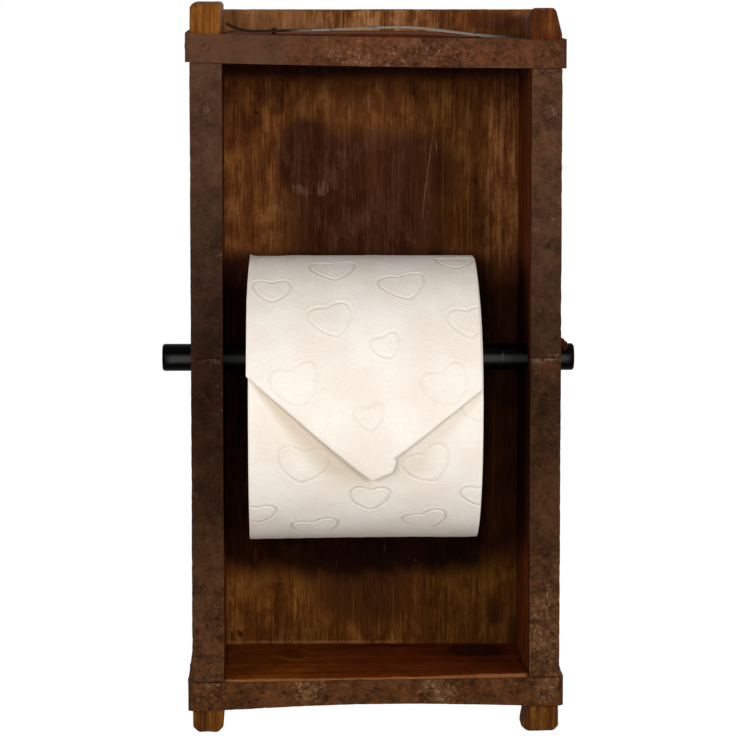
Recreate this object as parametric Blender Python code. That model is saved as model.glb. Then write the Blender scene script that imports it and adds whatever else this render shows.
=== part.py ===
# A toilet roll holder made from an old brick mould: an open wooden box bound in flat
# iron straps, with a rod through its sides that carries a roll of paper.
#
# Frame: metres, X to the right, Y from the front towards the wall, Z up. The origin is
# on the wall, behind the middle of the box, so the back board's rear face is y = 0.

import math

import bmesh
import bpy
from mathutils import Vector

# Clearances
seat_gap = 0.0003           # between two pieces that touch
cut_overrun = 0.0030        # how far a cutter runs past the face that it enters

# Wooden box
box_height = 0.3190         # left side board, top to foot
box_width = 0.1610          # over both side boards
box_depth = 0.0860          # side boards, front to back
side_thickness = 0.0138
end_thickness = 0.0135
top_end_drop = 0.0133       # from the left board's top down to the top end board
bottom_end_rise = 0.0105    # from the feet up to the bottom end board
right_post_drop = 0.0020    # the right board's top is lower than the left one's
right_post_slope = 0.0026   # how far its worn outer edge leans in
foot_chamfer = 0.0025
post_chamfer = 0.0012
edge_round = 0.0015         # worn edges along the boards
back_thickness = 0.0100
back_top_drop = 0.0037      # from the left board's top down to the back board's
back_foot_rise = 0.0100
back_side_inset = 0.0010

# Iron straps
strap_thickness = 0.0017
band_width = 0.0128         # the two bands round the ends of the box
band_rear_margin = 0.0030   # from a band's end to the back board
top_band_fall = 0.0028      # from left to right
bottom_band_rise = 0.0019   # from left to right
left_strip_width = 0.0141
right_strip_width = 0.0134
strip_joint_rise = 0.0061   # where the upper and lower strips meet, above the middle
cap_depth = 0.0120          # the thin strip on top of the box
cap_thickness = 0.0012
cap_side_gap = 0.0020       # from its ends to the side boards
cap_setback = 0.0020        # behind the end board's front edge
cap_curl = 0.0034           # its left end is bent up this far
cap_curl_length = 0.0120
cap_bow = 0.0011            # its middle stands off the end board

# Rod
rod_radius = 0.0060
rod_end_round = 0.0012
rod_left_reach = 0.0129     # past the outer face of the left board
rod_right_reach = 0.0071
rod_rise = 0.0042           # above the middle of the box
rod_setback = 0.0207        # behind the side boards' front edges
rod_clearance = 0.0003      # all round, in the side boards

# Paper roll
roll_width = 0.1000
roll_left_share = 0.3413    # of the free width beside the roll, between the side boards
roll_rear_gap = 0.0025      # the full roll turns this clear of the back board
core_bore_radius = 0.0240
core_wall = 0.0010
tail_lift = 0.0013          # how far the loose end stands off the roll
tail_shift = 0.0008         # the loose end lies this much left of the winding
tail_root = 0.0005          # how deep its underside is rooted in the winding
tail_lap = 0.0700           # wrapped length of the loose end behind the roll's top
fold_left_drop = 0.0815     # wrapped length from the roll's top to the left fold
fold_right_drop = 0.0868
fold_tip_drop = 0.1272
fold_tip_shift = 0.0020     # the point lies this much right of the roll's middle
fold_tip_width = 0.0030     # the torn point is blunt

# Nails, the same head and shank throughout
nail_head_radius = 0.0020
nail_head_height = 0.0009
nail_shank_radius = 0.0011
strip_nail_length = 0.0180
band_nail_length = 0.0160
corner_nail_length = 0.0340
back_nail_length = 0.0240
cap_nail_length = 0.0065    # a tack, which ends above the top band's nails
back_nail_recess = 0.0003   # below the back board's rear face

# Hanger plates, let into the back board
hanger_width = 0.0180
hanger_height = 0.0420
hanger_thickness = 0.0015
hanger_spread = 0.0900      # between the middles of the two plates
hanger_drop = 0.0480        # from the back board's top to the plates' middles
keyhole_radius = 0.0045
keyhole_slot_radius = 0.0022
keyhole_slot_length = 0.0080
keyhole_relief = 0.0035     # free depth behind a keyhole
screw_head_radius = 0.0028
screw_head_height = 0.0012
screw_shank_radius = 0.0013
screw_length = 0.0055
screw_inset = 0.0055        # from the plate's end to its screw

# Facets and rounding
corner_steps = 4
cap_steps = 32
edge_segments = 2
smooth_limit = math.radians(40)
rod_sides = 32
core_sides = 48
roll_sides = 96
nail_sides = 10
keyhole_sides = 20

# Places worked out from the sizes
left_face = -box_width / 2
right_face = box_width / 2
side_inner = box_width / 2 - side_thickness
box_top = box_height / 2
box_foot = -box_height / 2
back_front = -back_thickness
box_rear = back_front - seat_gap
box_front = box_rear - box_depth
strap_rear = box_front - seat_gap
strap_front = strap_rear - strap_thickness
top_end_upper = box_top - top_end_drop
top_end_middle = top_end_upper - end_thickness / 2
bottom_end_lower = box_foot + bottom_end_rise
bottom_end_middle = bottom_end_lower + end_thickness / 2
cap_left = cap_side_gap - side_inner
cap_length = 2 * (side_inner - cap_side_gap)
rod_y = box_front + rod_setback
roll_left = (2 * side_inner - roll_width) * roll_left_share - side_inner
roll_x = roll_left + roll_width / 2
roll_z = rod_rise + rod_radius + seat_gap - core_bore_radius
roll_radius = back_front - rod_y - roll_rear_gap - tail_lift

facings = {
    "front": Vector((0, -1, 0)),
    "wall": Vector((0, 1, 0)),
    "left": Vector((-1, 0, 0)),
    "right": Vector((1, 0, 0)),
    "up": Vector((0, 0, 1)),
}

# Every fastener's shank, as (seat point, facing, radius, length), under each piece it enters
holes = {}


def clear_scene():
    for old in list(bpy.data.objects):
        bpy.data.objects.remove(old)


def paint(name, color, roughness, metallic):
    material = bpy.data.materials.new(name)
    material.use_nodes = True
    shader = material.node_tree.nodes["Principled BSDF"]
    shader.inputs["Base Color"].default_value = (*color, 1)
    shader.inputs["Roughness"].default_value = roughness
    shader.inputs["Metallic"].default_value = metallic
    return material


def place(name, bm, location=(0, 0, 0), smooth=False):
    bmesh.ops.recalc_face_normals(bm, faces=bm.faces)
    mesh = bpy.data.meshes.new(name)
    bm.to_mesh(mesh)
    bm.free()
    if smooth:
        mesh.shade_smooth()
        mesh.set_sharp_from_angle(angle=smooth_limit)
    piece = bpy.data.objects.new(name, mesh)
    piece.location = location
    bpy.context.scene.collection.objects.link(piece)
    return piece


def dress(piece, color, roughness, metallic):
    piece.data.materials.append(paint(piece.name, color, roughness, metallic))


def wood(piece, color):
    dress(piece, color, 0.7, 0)


def old_iron(piece, color):
    dress(piece, color, 0.65, 0.6)


def soften(piece):
    bevel = piece.modifiers.new("worn edges", "BEVEL")
    bevel.width = edge_round
    bevel.segments = edge_segments
    bevel.limit_method = "ANGLE"


def cut(piece, cutter, label, operation="DIFFERENCE"):
    cutter.hide_render = True
    cutter.display_type = "WIRE"
    boolean = piece.modifiers.new(label, "BOOLEAN")
    boolean.operation = operation
    boolean.object = cutter


def join_rings(bm, rings, closed=False):
    pairs = list(zip(rings, rings[1:]))
    if closed:
        pairs.append((rings[-1], rings[0]))
    for ring, other in pairs:
        for i in range(len(ring)):
            j = (i + 1) % len(ring)
            bm.faces.new((ring[i], ring[j], other[j], other[i]))


def add_prism(bm, lower_points, upper_points):
    lower = [bm.verts.new(point) for point in lower_points]
    upper = [bm.verts.new(point) for point in upper_points]
    join_rings(bm, [lower, upper])
    bm.faces.new(lower)
    bm.faces.new(upper)


def add_slab(bm, outline, near, far):
    # An outline in X and Z, given depth along Y
    add_prism(bm, [(x, near, z) for x, z in outline], [(x, far, z) for x, z in outline])


def add_box(bm, low, high):
    outline = [(low[0], low[2]), (high[0], low[2]), (high[0], high[2]), (low[0], high[2])]
    add_slab(bm, outline, low[1], high[1])


def add_turned(bm, profile, sides, seat=Vector((0, 0, 0)), facing=facings["up"]):
    # A closed solid of revolution. The profile lists (radius, height) from the top centre
    # to the bottom centre, and its height runs along the facing
    turn = facings["up"].rotation_difference(facing)
    ends = []
    rings = []
    for radius, height in profile:
        if radius == 0:
            ends.append(bm.verts.new(seat + turn @ Vector((0, 0, height))))
            continue
        ring = []
        for i in range(sides):
            angle = math.tau * i / sides
            spoke = Vector((radius * math.cos(angle), radius * math.sin(angle), height))
            ring.append(bm.verts.new(seat + turn @ spoke))
        rings.append(ring)
    join_rings(bm, rings)
    for tip, ring in zip(ends, (rings[0], rings[-1])):
        for i in range(sides):
            bm.faces.new((tip, ring[i], ring[(i + 1) % sides]))


def add_tube(bm, bore_radius, outer_radius, low, high, sides):
    # A tube about the X axis
    rings = []
    for radius, x in ((outer_radius, low), (outer_radius, high), (bore_radius, high), (bore_radius, low)):
        ring = []
        for i in range(sides):
            angle = math.tau * i / sides
            ring.append(bm.verts.new((x, radius * math.sin(angle), radius * math.cos(angle))))
        rings.append(ring)
    join_rings(bm, rings, closed=True)


def top_band_middle(x):
    return top_end_middle - top_band_fall * x / box_width


def bottom_band_middle(x):
    return bottom_end_middle + bottom_band_rise * x / box_width


def side_board(name, outer, inner, top, slope, color):
    # The outline runs round the board as seen from the front, from the outer foot
    across = math.copysign(1, inner - outer)
    outline = [
        (outer, box_foot + foot_chamfer),
        (outer + across * foot_chamfer, box_foot),
        (inner - across * foot_chamfer, box_foot),
        (inner, box_foot + foot_chamfer),
        (inner, top - post_chamfer),
        (inner - across * post_chamfer, top),
        (outer + across * (slope + post_chamfer), top),
        (outer + across * slope, top - post_chamfer),
        (outer, top_end_upper),
    ]
    bm = bmesh.new()
    add_slab(bm, outline, box_front, box_rear)
    board = place(name, bm)
    soften(board)
    wood(board, color)
    bm = bmesh.new()
    bore = Vector((outer - across * cut_overrun, rod_y, rod_rise))
    reach = side_thickness + 2 * cut_overrun
    bore_radius = rod_radius + rod_clearance
    profile = [(0, 0), (bore_radius, 0), (bore_radius, -reach), (0, -reach)]
    add_turned(bm, profile, rod_sides, bore, facings["left" if across > 0 else "right"])
    cut(board, place(name + "_bore", bm), "rod hole")
    return board


def end_board(name, lower, color):
    bm = bmesh.new()
    reach = side_inner - seat_gap
    add_box(bm, (-reach, box_front, lower), (reach, box_rear, lower + end_thickness))
    board = place(name, bm)
    soften(board)
    wood(board, color)
    return board


def back_board():
    bm = bmesh.new()
    reach = box_width / 2 - back_side_inset
    add_box(bm, (-reach, back_front, box_foot + back_foot_rise), (reach, 0, box_top - back_top_drop))
    board = place("back_board", bm)
    soften(board)
    wood(board, (0.13, 0.065, 0.025))
    for name, x in hanger_places():
        cut(board, hanger_pocket(name, x), "plate pocket")
        cut(board, keyhole_pocket(name, x), "keyhole pocket")
    return board


def end_band(name, middle, color):
    # A flat band along the front, bent round both corners and back along the sides
    inner_bend = edge_round + seat_gap
    outer_bend = inner_bend + strap_thickness
    bend_x = box_width / 2 - edge_round
    bend_y = box_front + edge_round
    rear = box_rear - band_rear_margin
    inside = []
    outside = []
    for bend, path in ((inner_bend, inside), (outer_bend, outside)):
        path.append((-bend_x - bend, rear))
        for i in range(corner_steps + 1):
            angle = math.pi + math.pi / 2 * i / corner_steps
            path.append((-bend_x + bend * math.cos(angle), bend_y + bend * math.sin(angle)))
        for i in range(corner_steps + 1):
            angle = math.pi * 3 / 2 + math.pi / 2 * i / corner_steps
            path.append((bend_x + bend * math.cos(angle), bend_y + bend * math.sin(angle)))
        path.append((bend_x + bend, rear))
    bm = bmesh.new()
    levels = []
    for offset in (-band_width / 2, band_width / 2):
        inner = [bm.verts.new((x, y, middle(x) + offset)) for x, y in inside]
        outer = [bm.verts.new((x, y, middle(x) + offset)) for x, y in outside]
        levels.append((inner, outer))
    (inner_low, outer_low), (inner_high, outer_high) = levels
    for i in range(len(inside) - 1):
        j = i + 1
        bm.faces.new((inner_low[i], inner_low[j], inner_high[j], inner_high[i]))
        bm.faces.new((outer_low[i], outer_low[j], outer_high[j], outer_high[i]))
        bm.faces.new((inner_low[i], inner_low[j], outer_low[j], outer_low[i]))
        bm.faces.new((inner_high[i], inner_high[j], outer_high[j], outer_high[i]))
    for i in (0, -1):
        bm.faces.new((inner_low[i], outer_low[i], outer_high[i], inner_high[i]))
    band = place(name, bm)
    old_iron(band, color)
    return band


def strip_ends(left, right):
    # Heights of a side's strips at their left and right edges, from the foot to the top
    return {
        "lower": (
            bottom_band_middle(left) + band_width / 2 + seat_gap,
            bottom_band_middle(right) + band_width / 2 + seat_gap,
            strip_joint_rise - seat_gap / 2,
            strip_joint_rise - seat_gap / 2,
        ),
        "upper": (
            strip_joint_rise + seat_gap / 2,
            strip_joint_rise + seat_gap / 2,
            top_band_middle(left) - band_width / 2 - seat_gap,
            top_band_middle(right) - band_width / 2 - seat_gap,
        ),
    }


def edge_strip(name, left, right, half, color):
    low_left, low_right, high_left, high_right = strip_ends(left, right)[half]
    outline = [(left, low_left), (right, low_right), (right, high_right), (left, high_left)]
    bm = bmesh.new()
    add_slab(bm, outline, strap_front, strap_rear)
    strip = place(name, bm)
    old_iron(strip, color)
    return strip


def cap_rise(x):
    # Flat at its right end, bowed in the middle and curled up at its left end
    from_left = x - cap_left
    bow = cap_bow * math.sin(math.pi * from_left / cap_length) ** 2
    curl_share = max(0, 1 - from_left / cap_curl_length)
    return bow + cap_curl * curl_share ** 2


def cap_strip():
    under = []
    for i in range(cap_steps + 1):
        x = cap_left + cap_length * i / cap_steps
        under.append((x, top_end_upper + seat_gap + cap_rise(x)))
    above = [(x, z + cap_thickness) for x, z in reversed(under)]
    near = box_front + cap_setback
    bm = bmesh.new()
    add_slab(bm, under + above, near, near + cap_depth)
    strip = place("top_cap_strip", bm)
    old_iron(strip, (0.12, 0.11, 0.10))
    return strip


def rod():
    # Turned about its own axis, which lies along X
    length = rod_left_reach + box_width + rod_right_reach
    middle = (rod_right_reach - rod_left_reach) / 2
    half = length / 2
    profile = [
        (0, half),
        (rod_radius - rod_end_round, half),
        (rod_radius, half - rod_end_round),
        (rod_radius, rod_end_round - half),
        (rod_radius - rod_end_round, -half),
        (0, -half),
    ]
    bm = bmesh.new()
    add_turned(bm, profile, rod_sides)
    bar = place("roll_rod", bm, (middle, rod_y, rod_rise), smooth=True)
    bar.rotation_euler = (0, math.pi / 2, 0)
    dress(bar, (0.008, 0.008, 0.008), 0.45, 0.3)


def on_roll(x, drop, radius):
    # A point on the winding, its drop measured along the paper from the roll's top
    angle = drop / roll_radius
    return (x, -radius * math.sin(angle), radius * math.cos(angle))


def tail_drops():
    # The loose end's rows: the winding's own facets, the two folds and the point
    facet = math.tau * roll_radius / roll_sides
    first = math.ceil(-tail_lap / facet)
    last = math.floor(fold_tip_drop / facet)
    drops = {facet * i for i in range(first, last + 1)}
    return sorted(drops | {fold_left_drop, fold_right_drop, fold_tip_drop})


def tail_edges(drop):
    # Full width down to each fold, then straight in to the blunt point
    edges = []
    for side, fold_drop in ((-1, fold_left_drop), (1, fold_right_drop)):
        edge = side * roll_width / 2 - tail_shift
        tip = fold_tip_shift + side * fold_tip_width / 2
        share = max(0, (drop - fold_drop) / (fold_tip_drop - fold_drop))
        edges.append(edge + (tip - edge) * share)
    return edges


def loose_end():
    # The last turn of paper, rooted in the winding behind the top and standing off it in front
    drops = tail_drops()
    bm = bmesh.new()
    rings = []
    for drop in drops:
        share = (drop - drops[0]) / (drops[-1] - drops[0])
        root_radius = roll_radius - tail_root
        rise = tail_root / 2 + (tail_root / 2 + tail_lift) * math.sin(share * math.pi / 2)
        left, right = tail_edges(drop)
        corners = (
            (left, root_radius + rise),
            (right, root_radius + rise),
            (right, root_radius),
            (left, root_radius),
        )
        rings.append([bm.verts.new(on_roll(x, drop, radius)) for x, radius in corners])
    join_rings(bm, rings)
    bm.faces.new(rings[0])
    bm.faces.new(rings[-1])
    return place("loose_end", bm)


def paper_roll(axis):
    bm = bmesh.new()
    add_tube(bm, core_bore_radius, core_bore_radius + core_wall, -roll_width / 2, roll_width / 2, core_sides)
    core = place("roll_core", bm, smooth=True)
    dress(core, (0.42, 0.30, 0.19), 0.9, 0)
    core.parent = axis
    bm = bmesh.new()
    inner = core_bore_radius + core_wall + seat_gap
    add_tube(bm, inner, roll_radius, -roll_width / 2, roll_width / 2, roll_sides)
    roll = place("paper_roll", bm, smooth=True)
    dress(roll, (0.88, 0.84, 0.79), 0.95, 0)
    roll.parent = axis
    tail = loose_end()
    tail.parent = axis
    cut(roll, tail, "loose end", "UNION")


def roll_axis():
    axis = bpy.data.objects.new("roll_axis", None)
    axis.location = (roll_x, rod_y, roll_z)
    bpy.context.scene.collection.objects.link(axis)
    return axis


def fastener(name, seat, facing, sizes, entered, color):
    # A round head on the seat and a shank behind it, which needs a hole in each piece it enters
    head_radius, head_height, shank_radius, length = sizes
    crown_share = 0.7
    brim_share = 0.4
    point_share = 0.4
    profile = [
        (0, head_height),
        (head_radius * crown_share, head_height),
        (head_radius, head_height * brim_share),
        (head_radius, 0),
        (shank_radius, 0),
        (shank_radius, shank_radius - length),
        (shank_radius * point_share, -length),
        (0, -length),
    ]
    bm = bmesh.new()
    add_turned(bm, profile, nail_sides)
    seat = Vector(seat)
    piece = place(name, bm, seat, smooth=True)
    piece.rotation_euler = facings["up"].rotation_difference(facings[facing]).to_euler()
    old_iron(piece, color)
    for board in entered:
        holes.setdefault(board, []).append((seat, facings[facing], shank_radius, length))


def nail(name, seat, facing, length, entered):
    sizes = (nail_head_radius, nail_head_height, nail_shank_radius, length)
    seat = Vector(seat) + facings[facing] * seat_gap
    fastener(name, seat, facing, sizes, entered, (0.10, 0.075, 0.055))


def strip_nails():
    # Shares of each strip's length, up from its lower end
    nail_shares = {"upper": (0.39, 0.84), "lower": (0.17, 0.88)}
    for side, left, right in strip_sides():
        x = (left + right) / 2
        for half, shares in nail_shares.items():
            low_left, low_right, high_left, high_right = strip_ends(left, right)[half]
            low = (low_left + low_right) / 2
            high = (high_left + high_right) / 2
            for i, share in enumerate(shares):
                seat = (x, strap_front, low + (high - low) * share)
                entered = (f"{side}_edge_strip_{half}", f"{side}_side_board")
                nail(f"{side}_{half}_strip_nail_{i + 1}", seat, "front", strip_nail_length, entered)


def band_nails():
    # Along the front of both bands: one into each side board, and two into the end board
    middle_share = 0.36
    outer_x = box_width / 2 - side_thickness / 2
    inner_x = side_inner * middle_share
    for level, middle in (("top", top_band_middle), ("bottom", bottom_band_middle)):
        band = f"{level}_strap_band"
        for label, x, board in (
            ("left", -outer_x, "left_side_board"),
            ("middle_left", -inner_x, f"{level}_end_board"),
            ("middle_right", inner_x, f"{level}_end_board"),
            ("right", outer_x, "right_side_board"),
        ):
            seat = (x, strap_front, middle(x))
            nail(f"{level}_band_nail_{label}", seat, "front", band_nail_length, (band, board))


def corner_nails():
    # Through each band's side, the side board and into the end board's end grain
    depth_shares = {"front": 0.42, "rear": 0.80}
    face = box_width / 2 + seat_gap + strap_thickness
    for level, middle in (("top", top_band_middle), ("bottom", bottom_band_middle)):
        for side, x in (("left", -face), ("right", face)):
            for label, share in depth_shares.items():
                seat = (x, box_front + box_depth * share, middle(x))
                entered = (f"{level}_strap_band", f"{side}_side_board", f"{level}_end_board")
                nail(f"{level}_{side}_corner_nail_{label}", seat, side, corner_nail_length, entered)


def back_nails():
    # Sunk in the back board's rear face, into the edges of the side and end boards
    height_shares = (0.14, 0.50, 0.86)
    seat_y = -back_nail_recess - nail_head_height - seat_gap
    side_x = box_width / 2 - side_thickness / 2
    for side, x in (("left", -side_x), ("right", side_x)):
        for i, share in enumerate(height_shares):
            seat = (x, seat_y, box_foot + box_height * share)
            entered = ("back_board", f"{side}_side_board")
            nail(f"back_{side}_nail_{i + 1}", seat, "wall", back_nail_length, entered)
    for level, z in (("top", top_end_middle), ("bottom", bottom_end_middle)):
        entered = ("back_board", f"{level}_end_board")
        nail(f"back_{level}_nail", (0, seat_y, z), "wall", back_nail_length, entered)


def cap_nails():
    end_share = 0.16
    for label, share in (("left", end_share), ("right", 1 - end_share)):
        x = cap_left + cap_length * share
        y = box_front + cap_setback + cap_depth / 2
        z = top_end_upper + seat_gap + cap_rise(x) + cap_thickness
        nail(f"cap_nail_{label}", (x, y, z), "up", cap_nail_length, ("top_cap_strip", "top_end_board"))


def hanger_places():
    return (("left", -hanger_spread / 2), ("right", hanger_spread / 2))


def hanger_middle():
    return box_top - back_top_drop - hanger_drop


def hanger_floor():
    # The pocket holds the plate with its screw heads below the back board's rear face
    return -(hanger_thickness + screw_head_height + 3 * seat_gap)


def hanger_pocket(name, x):
    bm = bmesh.new()
    half_width = hanger_width / 2 + seat_gap
    half_height = hanger_height / 2 + seat_gap
    z = hanger_middle()
    add_box(
        bm,
        (x - half_width, hanger_floor(), z - half_height),
        (x + half_width, cut_overrun, z + half_height),
    )
    return place(f"{name}_plate_pocket", bm)


def keyhole_outline(x, grow):
    # A round mouth with a narrower slot above it, as (x, z) points
    z = hanger_middle() - keyhole_slot_length / 2
    mouth = keyhole_radius + grow
    slot = keyhole_slot_radius + grow
    slot_angle = math.asin(slot / mouth)
    outline = []
    for i in range(keyhole_sides + 1):
        angle = math.pi / 2 + slot_angle + (math.tau - 2 * slot_angle) * i / keyhole_sides
        outline.append((x + mouth * math.cos(angle), z + mouth * math.sin(angle)))
    half_sides = keyhole_sides // 2
    for i in range(half_sides + 1):
        angle = math.pi * i / half_sides
        height = z + keyhole_slot_length + slot * math.sin(angle)
        outline.append((x + slot * math.cos(angle), height))
    return outline


def keyhole_pocket(name, x):
    bm = bmesh.new()
    grow = keyhole_radius - keyhole_slot_radius
    floor = hanger_floor()
    add_slab(bm, keyhole_outline(x, grow), floor - keyhole_relief, floor + hanger_thickness)
    return place(f"{name}_keyhole_pocket", bm)


def hanger_plate(name, x):
    bm = bmesh.new()
    near = hanger_floor() + seat_gap
    z = hanger_middle()
    add_box(
        bm,
        (x - hanger_width / 2, near, z - hanger_height / 2),
        (x + hanger_width / 2, near + hanger_thickness, z + hanger_height / 2),
    )
    plate = place(f"{name}_hanger_plate", bm)
    old_iron(plate, (0.30, 0.29, 0.27))
    bm = bmesh.new()
    add_slab(bm, keyhole_outline(x, 0), near - cut_overrun, near + hanger_thickness + cut_overrun)
    cut(plate, place(f"{name}_keyhole", bm), "keyhole")
    sizes = (screw_head_radius, screw_head_height, screw_shank_radius, screw_length)
    for label, rise in (("lower", -1), ("upper", 1)):
        seat = (x, near + hanger_thickness + seat_gap, z + rise * (hanger_height / 2 - screw_inset))
        entered = (plate.name, "back_board")
        fastener(f"{name}_hanger_screw_{label}", seat, "wall", sizes, entered, (0.35, 0.33, 0.30))
    return plate


def strip_sides():
    return (
        ("left", left_face, left_face + left_strip_width),
        ("right", right_face - right_strip_width, right_face),
    )


def drill(piece):
    # One cutter with a hole for every shank that enters the piece
    bm = bmesh.new()
    for seat, facing, shank_radius, length in holes.get(piece.name, []):
        radius = shank_radius + seat_gap
        foot = -length - seat_gap
        profile = [(0, cut_overrun), (radius, cut_overrun), (radius, foot), (0, foot)]
        add_turned(bm, profile, nail_sides, seat, facing)
    cut(piece, place(piece.name + "_holes", bm), "fastener holes")


def sink_heads(board):
    # Wider mouths for the nail heads that lie below the back board's rear face
    bm = bmesh.new()
    for seat, facing, shank_radius, length in holes[board.name]:
        if length != back_nail_length:
            continue
        radius = nail_head_radius + seat_gap
        profile = [(0, cut_overrun), (radius, cut_overrun), (radius, -seat_gap), (0, -seat_gap)]
        add_turned(bm, profile, nail_sides, seat, facing)
    cut(board, place(board.name + "_head_sinks", bm), "head sinks")


def main():
    clear_scene()
    pieces = [
        side_board("left_side_board", left_face, -side_inner, box_top, 0, (0.12, 0.06, 0.025)),
        side_board(
            "right_side_board",
            right_face,
            side_inner,
            box_top - right_post_drop,
            right_post_slope,
            (0.09, 0.04, 0.02),
        ),
        end_board("top_end_board", top_end_upper - end_thickness, (0.10, 0.05, 0.02)),
        end_board("bottom_end_board", bottom_end_lower, (0.11, 0.045, 0.02)),
        end_band("top_strap_band", top_band_middle, (0.08, 0.05, 0.03)),
        end_band("bottom_strap_band", bottom_band_middle, (0.09, 0.055, 0.03)),
        cap_strip(),
    ]
    for side, left, right in strip_sides():
        for half in ("upper", "lower"):
            pieces.append(edge_strip(f"{side}_edge_strip_{half}", left, right, half, (0.07, 0.045, 0.03)))
    board = back_board()
    pieces.append(board)
    for name, x in hanger_places():
        pieces.append(hanger_plate(name, x))
    strip_nails()
    band_nails()
    corner_nails()
    back_nails()
    cap_nails()
    for piece in pieces:
        drill(piece)
    sink_heads(board)
    rod()
    paper_roll(roll_axis())


main()
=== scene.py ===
# The looks of a toilet roll holder made from an old brick mould: worn boards, rusted
# straps, a black rod and a roll of heart-embossed paper. Metres, +Z up, wall at y = 0.

import math

import bmesh
import bpy
import numpy as np
from mathutils import Matrix, Vector, noise


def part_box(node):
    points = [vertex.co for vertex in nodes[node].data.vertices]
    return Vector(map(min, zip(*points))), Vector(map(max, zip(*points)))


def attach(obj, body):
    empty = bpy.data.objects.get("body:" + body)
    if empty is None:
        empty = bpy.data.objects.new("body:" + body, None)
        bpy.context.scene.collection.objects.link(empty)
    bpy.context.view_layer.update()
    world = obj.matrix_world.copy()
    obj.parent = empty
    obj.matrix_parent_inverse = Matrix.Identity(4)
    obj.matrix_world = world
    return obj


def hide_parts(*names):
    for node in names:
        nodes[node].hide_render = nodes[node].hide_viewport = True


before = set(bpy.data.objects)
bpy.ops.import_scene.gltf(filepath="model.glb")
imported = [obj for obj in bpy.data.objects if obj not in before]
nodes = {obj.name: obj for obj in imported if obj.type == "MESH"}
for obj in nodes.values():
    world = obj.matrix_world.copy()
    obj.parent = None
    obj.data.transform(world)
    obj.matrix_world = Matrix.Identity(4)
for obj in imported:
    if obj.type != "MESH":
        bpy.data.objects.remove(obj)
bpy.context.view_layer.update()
print("Frame:", len(nodes), "nodes")


# Camera, floor and light

view = {
    "place": (-0.03843, -1.6854, 0.17705),
    "down": 6.3,  # degrees
    "right": 1.26,
    "lens": 179.95,
}


def newObject(name, data):
    thing = bpy.data.objects.new(name, data)
    bpy.context.scene.collection.objects.link(thing)
    return thing


def fromMesh(name, bm, material):
    mesh = bpy.data.meshes.new(name)
    bm.to_mesh(mesh)
    bm.free()
    mesh.materials.append(material)
    return newObject(name, mesh)


camera = newObject("camera", bpy.data.cameras.new("camera"))
camera.data.lens = view["lens"]
camera.location = view["place"]
camera.rotation_euler = (math.radians(90 - view["down"]), 0, -math.radians(view["right"]))
bpy.context.scene.camera = camera

light = {
    "lamps": (  # name, place, width, height, power
        ("leftLamp", (-1.25, -1.9, 0.52), 1.2, 0.5, 21.6),
        ("rightLamp", (1.25, -1.9, 0.52), 1.2, 0.5, 21.6),
        ("frontLamp", (-0.06, -2.2, 0.26), 0.45, 0.3, 2.7),
        ("rearLamp", (0.5, 2.1, 0.35), 1.0, 0.5, 9.0),
    ),
    "aim": (0, -0.05, 0),
    "surroundings": 0.2,
    "seenWhite": 1.04,  # what the camera and reflections see around the object
    "floorSize": 90,
    "floorDrop": 0.0003,  # below the feet
    "floorPaint": (232, 231, 229),
    "floorWhite": 0.96,  # how far the floor is plain white to the camera, shadow apart
}


def addLamp(name, place, width, height, power):
    data = bpy.data.lights.new(name, "AREA")
    data.shape = "ELLIPSE"
    data.size = width
    data.size_y = height
    data.energy = power
    lamp = newObject(name, data)
    lamp.location = place
    away = Vector(place) - Vector(light["aim"])
    lamp.rotation_euler = away.to_track_quat("Z", "Y").to_euler()


for lamp in light["lamps"]:
    addLamp(*lamp)
bpy.context.scene.view_settings.view_transform = "Standard"
print("Camera and lamps")


# Shader maths as Python expressions

def paint(red, green, blue):
    # A colour as a screen shows it, 0 to 255, made linear
    def linear(c):
        c /= 255
        return c / 12.92 if c <= 0.04045 else ((c + 0.055) / 1.055) ** 2.4
    return linear(red), linear(green), linear(blue), 1


class Wire:
    def __init__(self, finish, socket):
        self.finish = finish
        self.socket = socket

    def math(self, operation, *values):
        sockets = dict(enumerate(values))
        return self.finish.add("ShaderNodeMath", {"operation": operation}, sockets)

    def __add__(self, other):
        return self.math("ADD", self, other)

    def __mul__(self, other):
        return self.math("MULTIPLY", self, other)

    def __sub__(self, other):
        return self.math("SUBTRACT", self, other)

    def __rsub__(self, other):
        return self.math("SUBTRACT", other, self)

    __radd__ = __add__
    __rmul__ = __mul__

    def sine(self):
        return self.math("SINE", self)

    def size(self):
        return self.math("ABSOLUTE", self)


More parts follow.
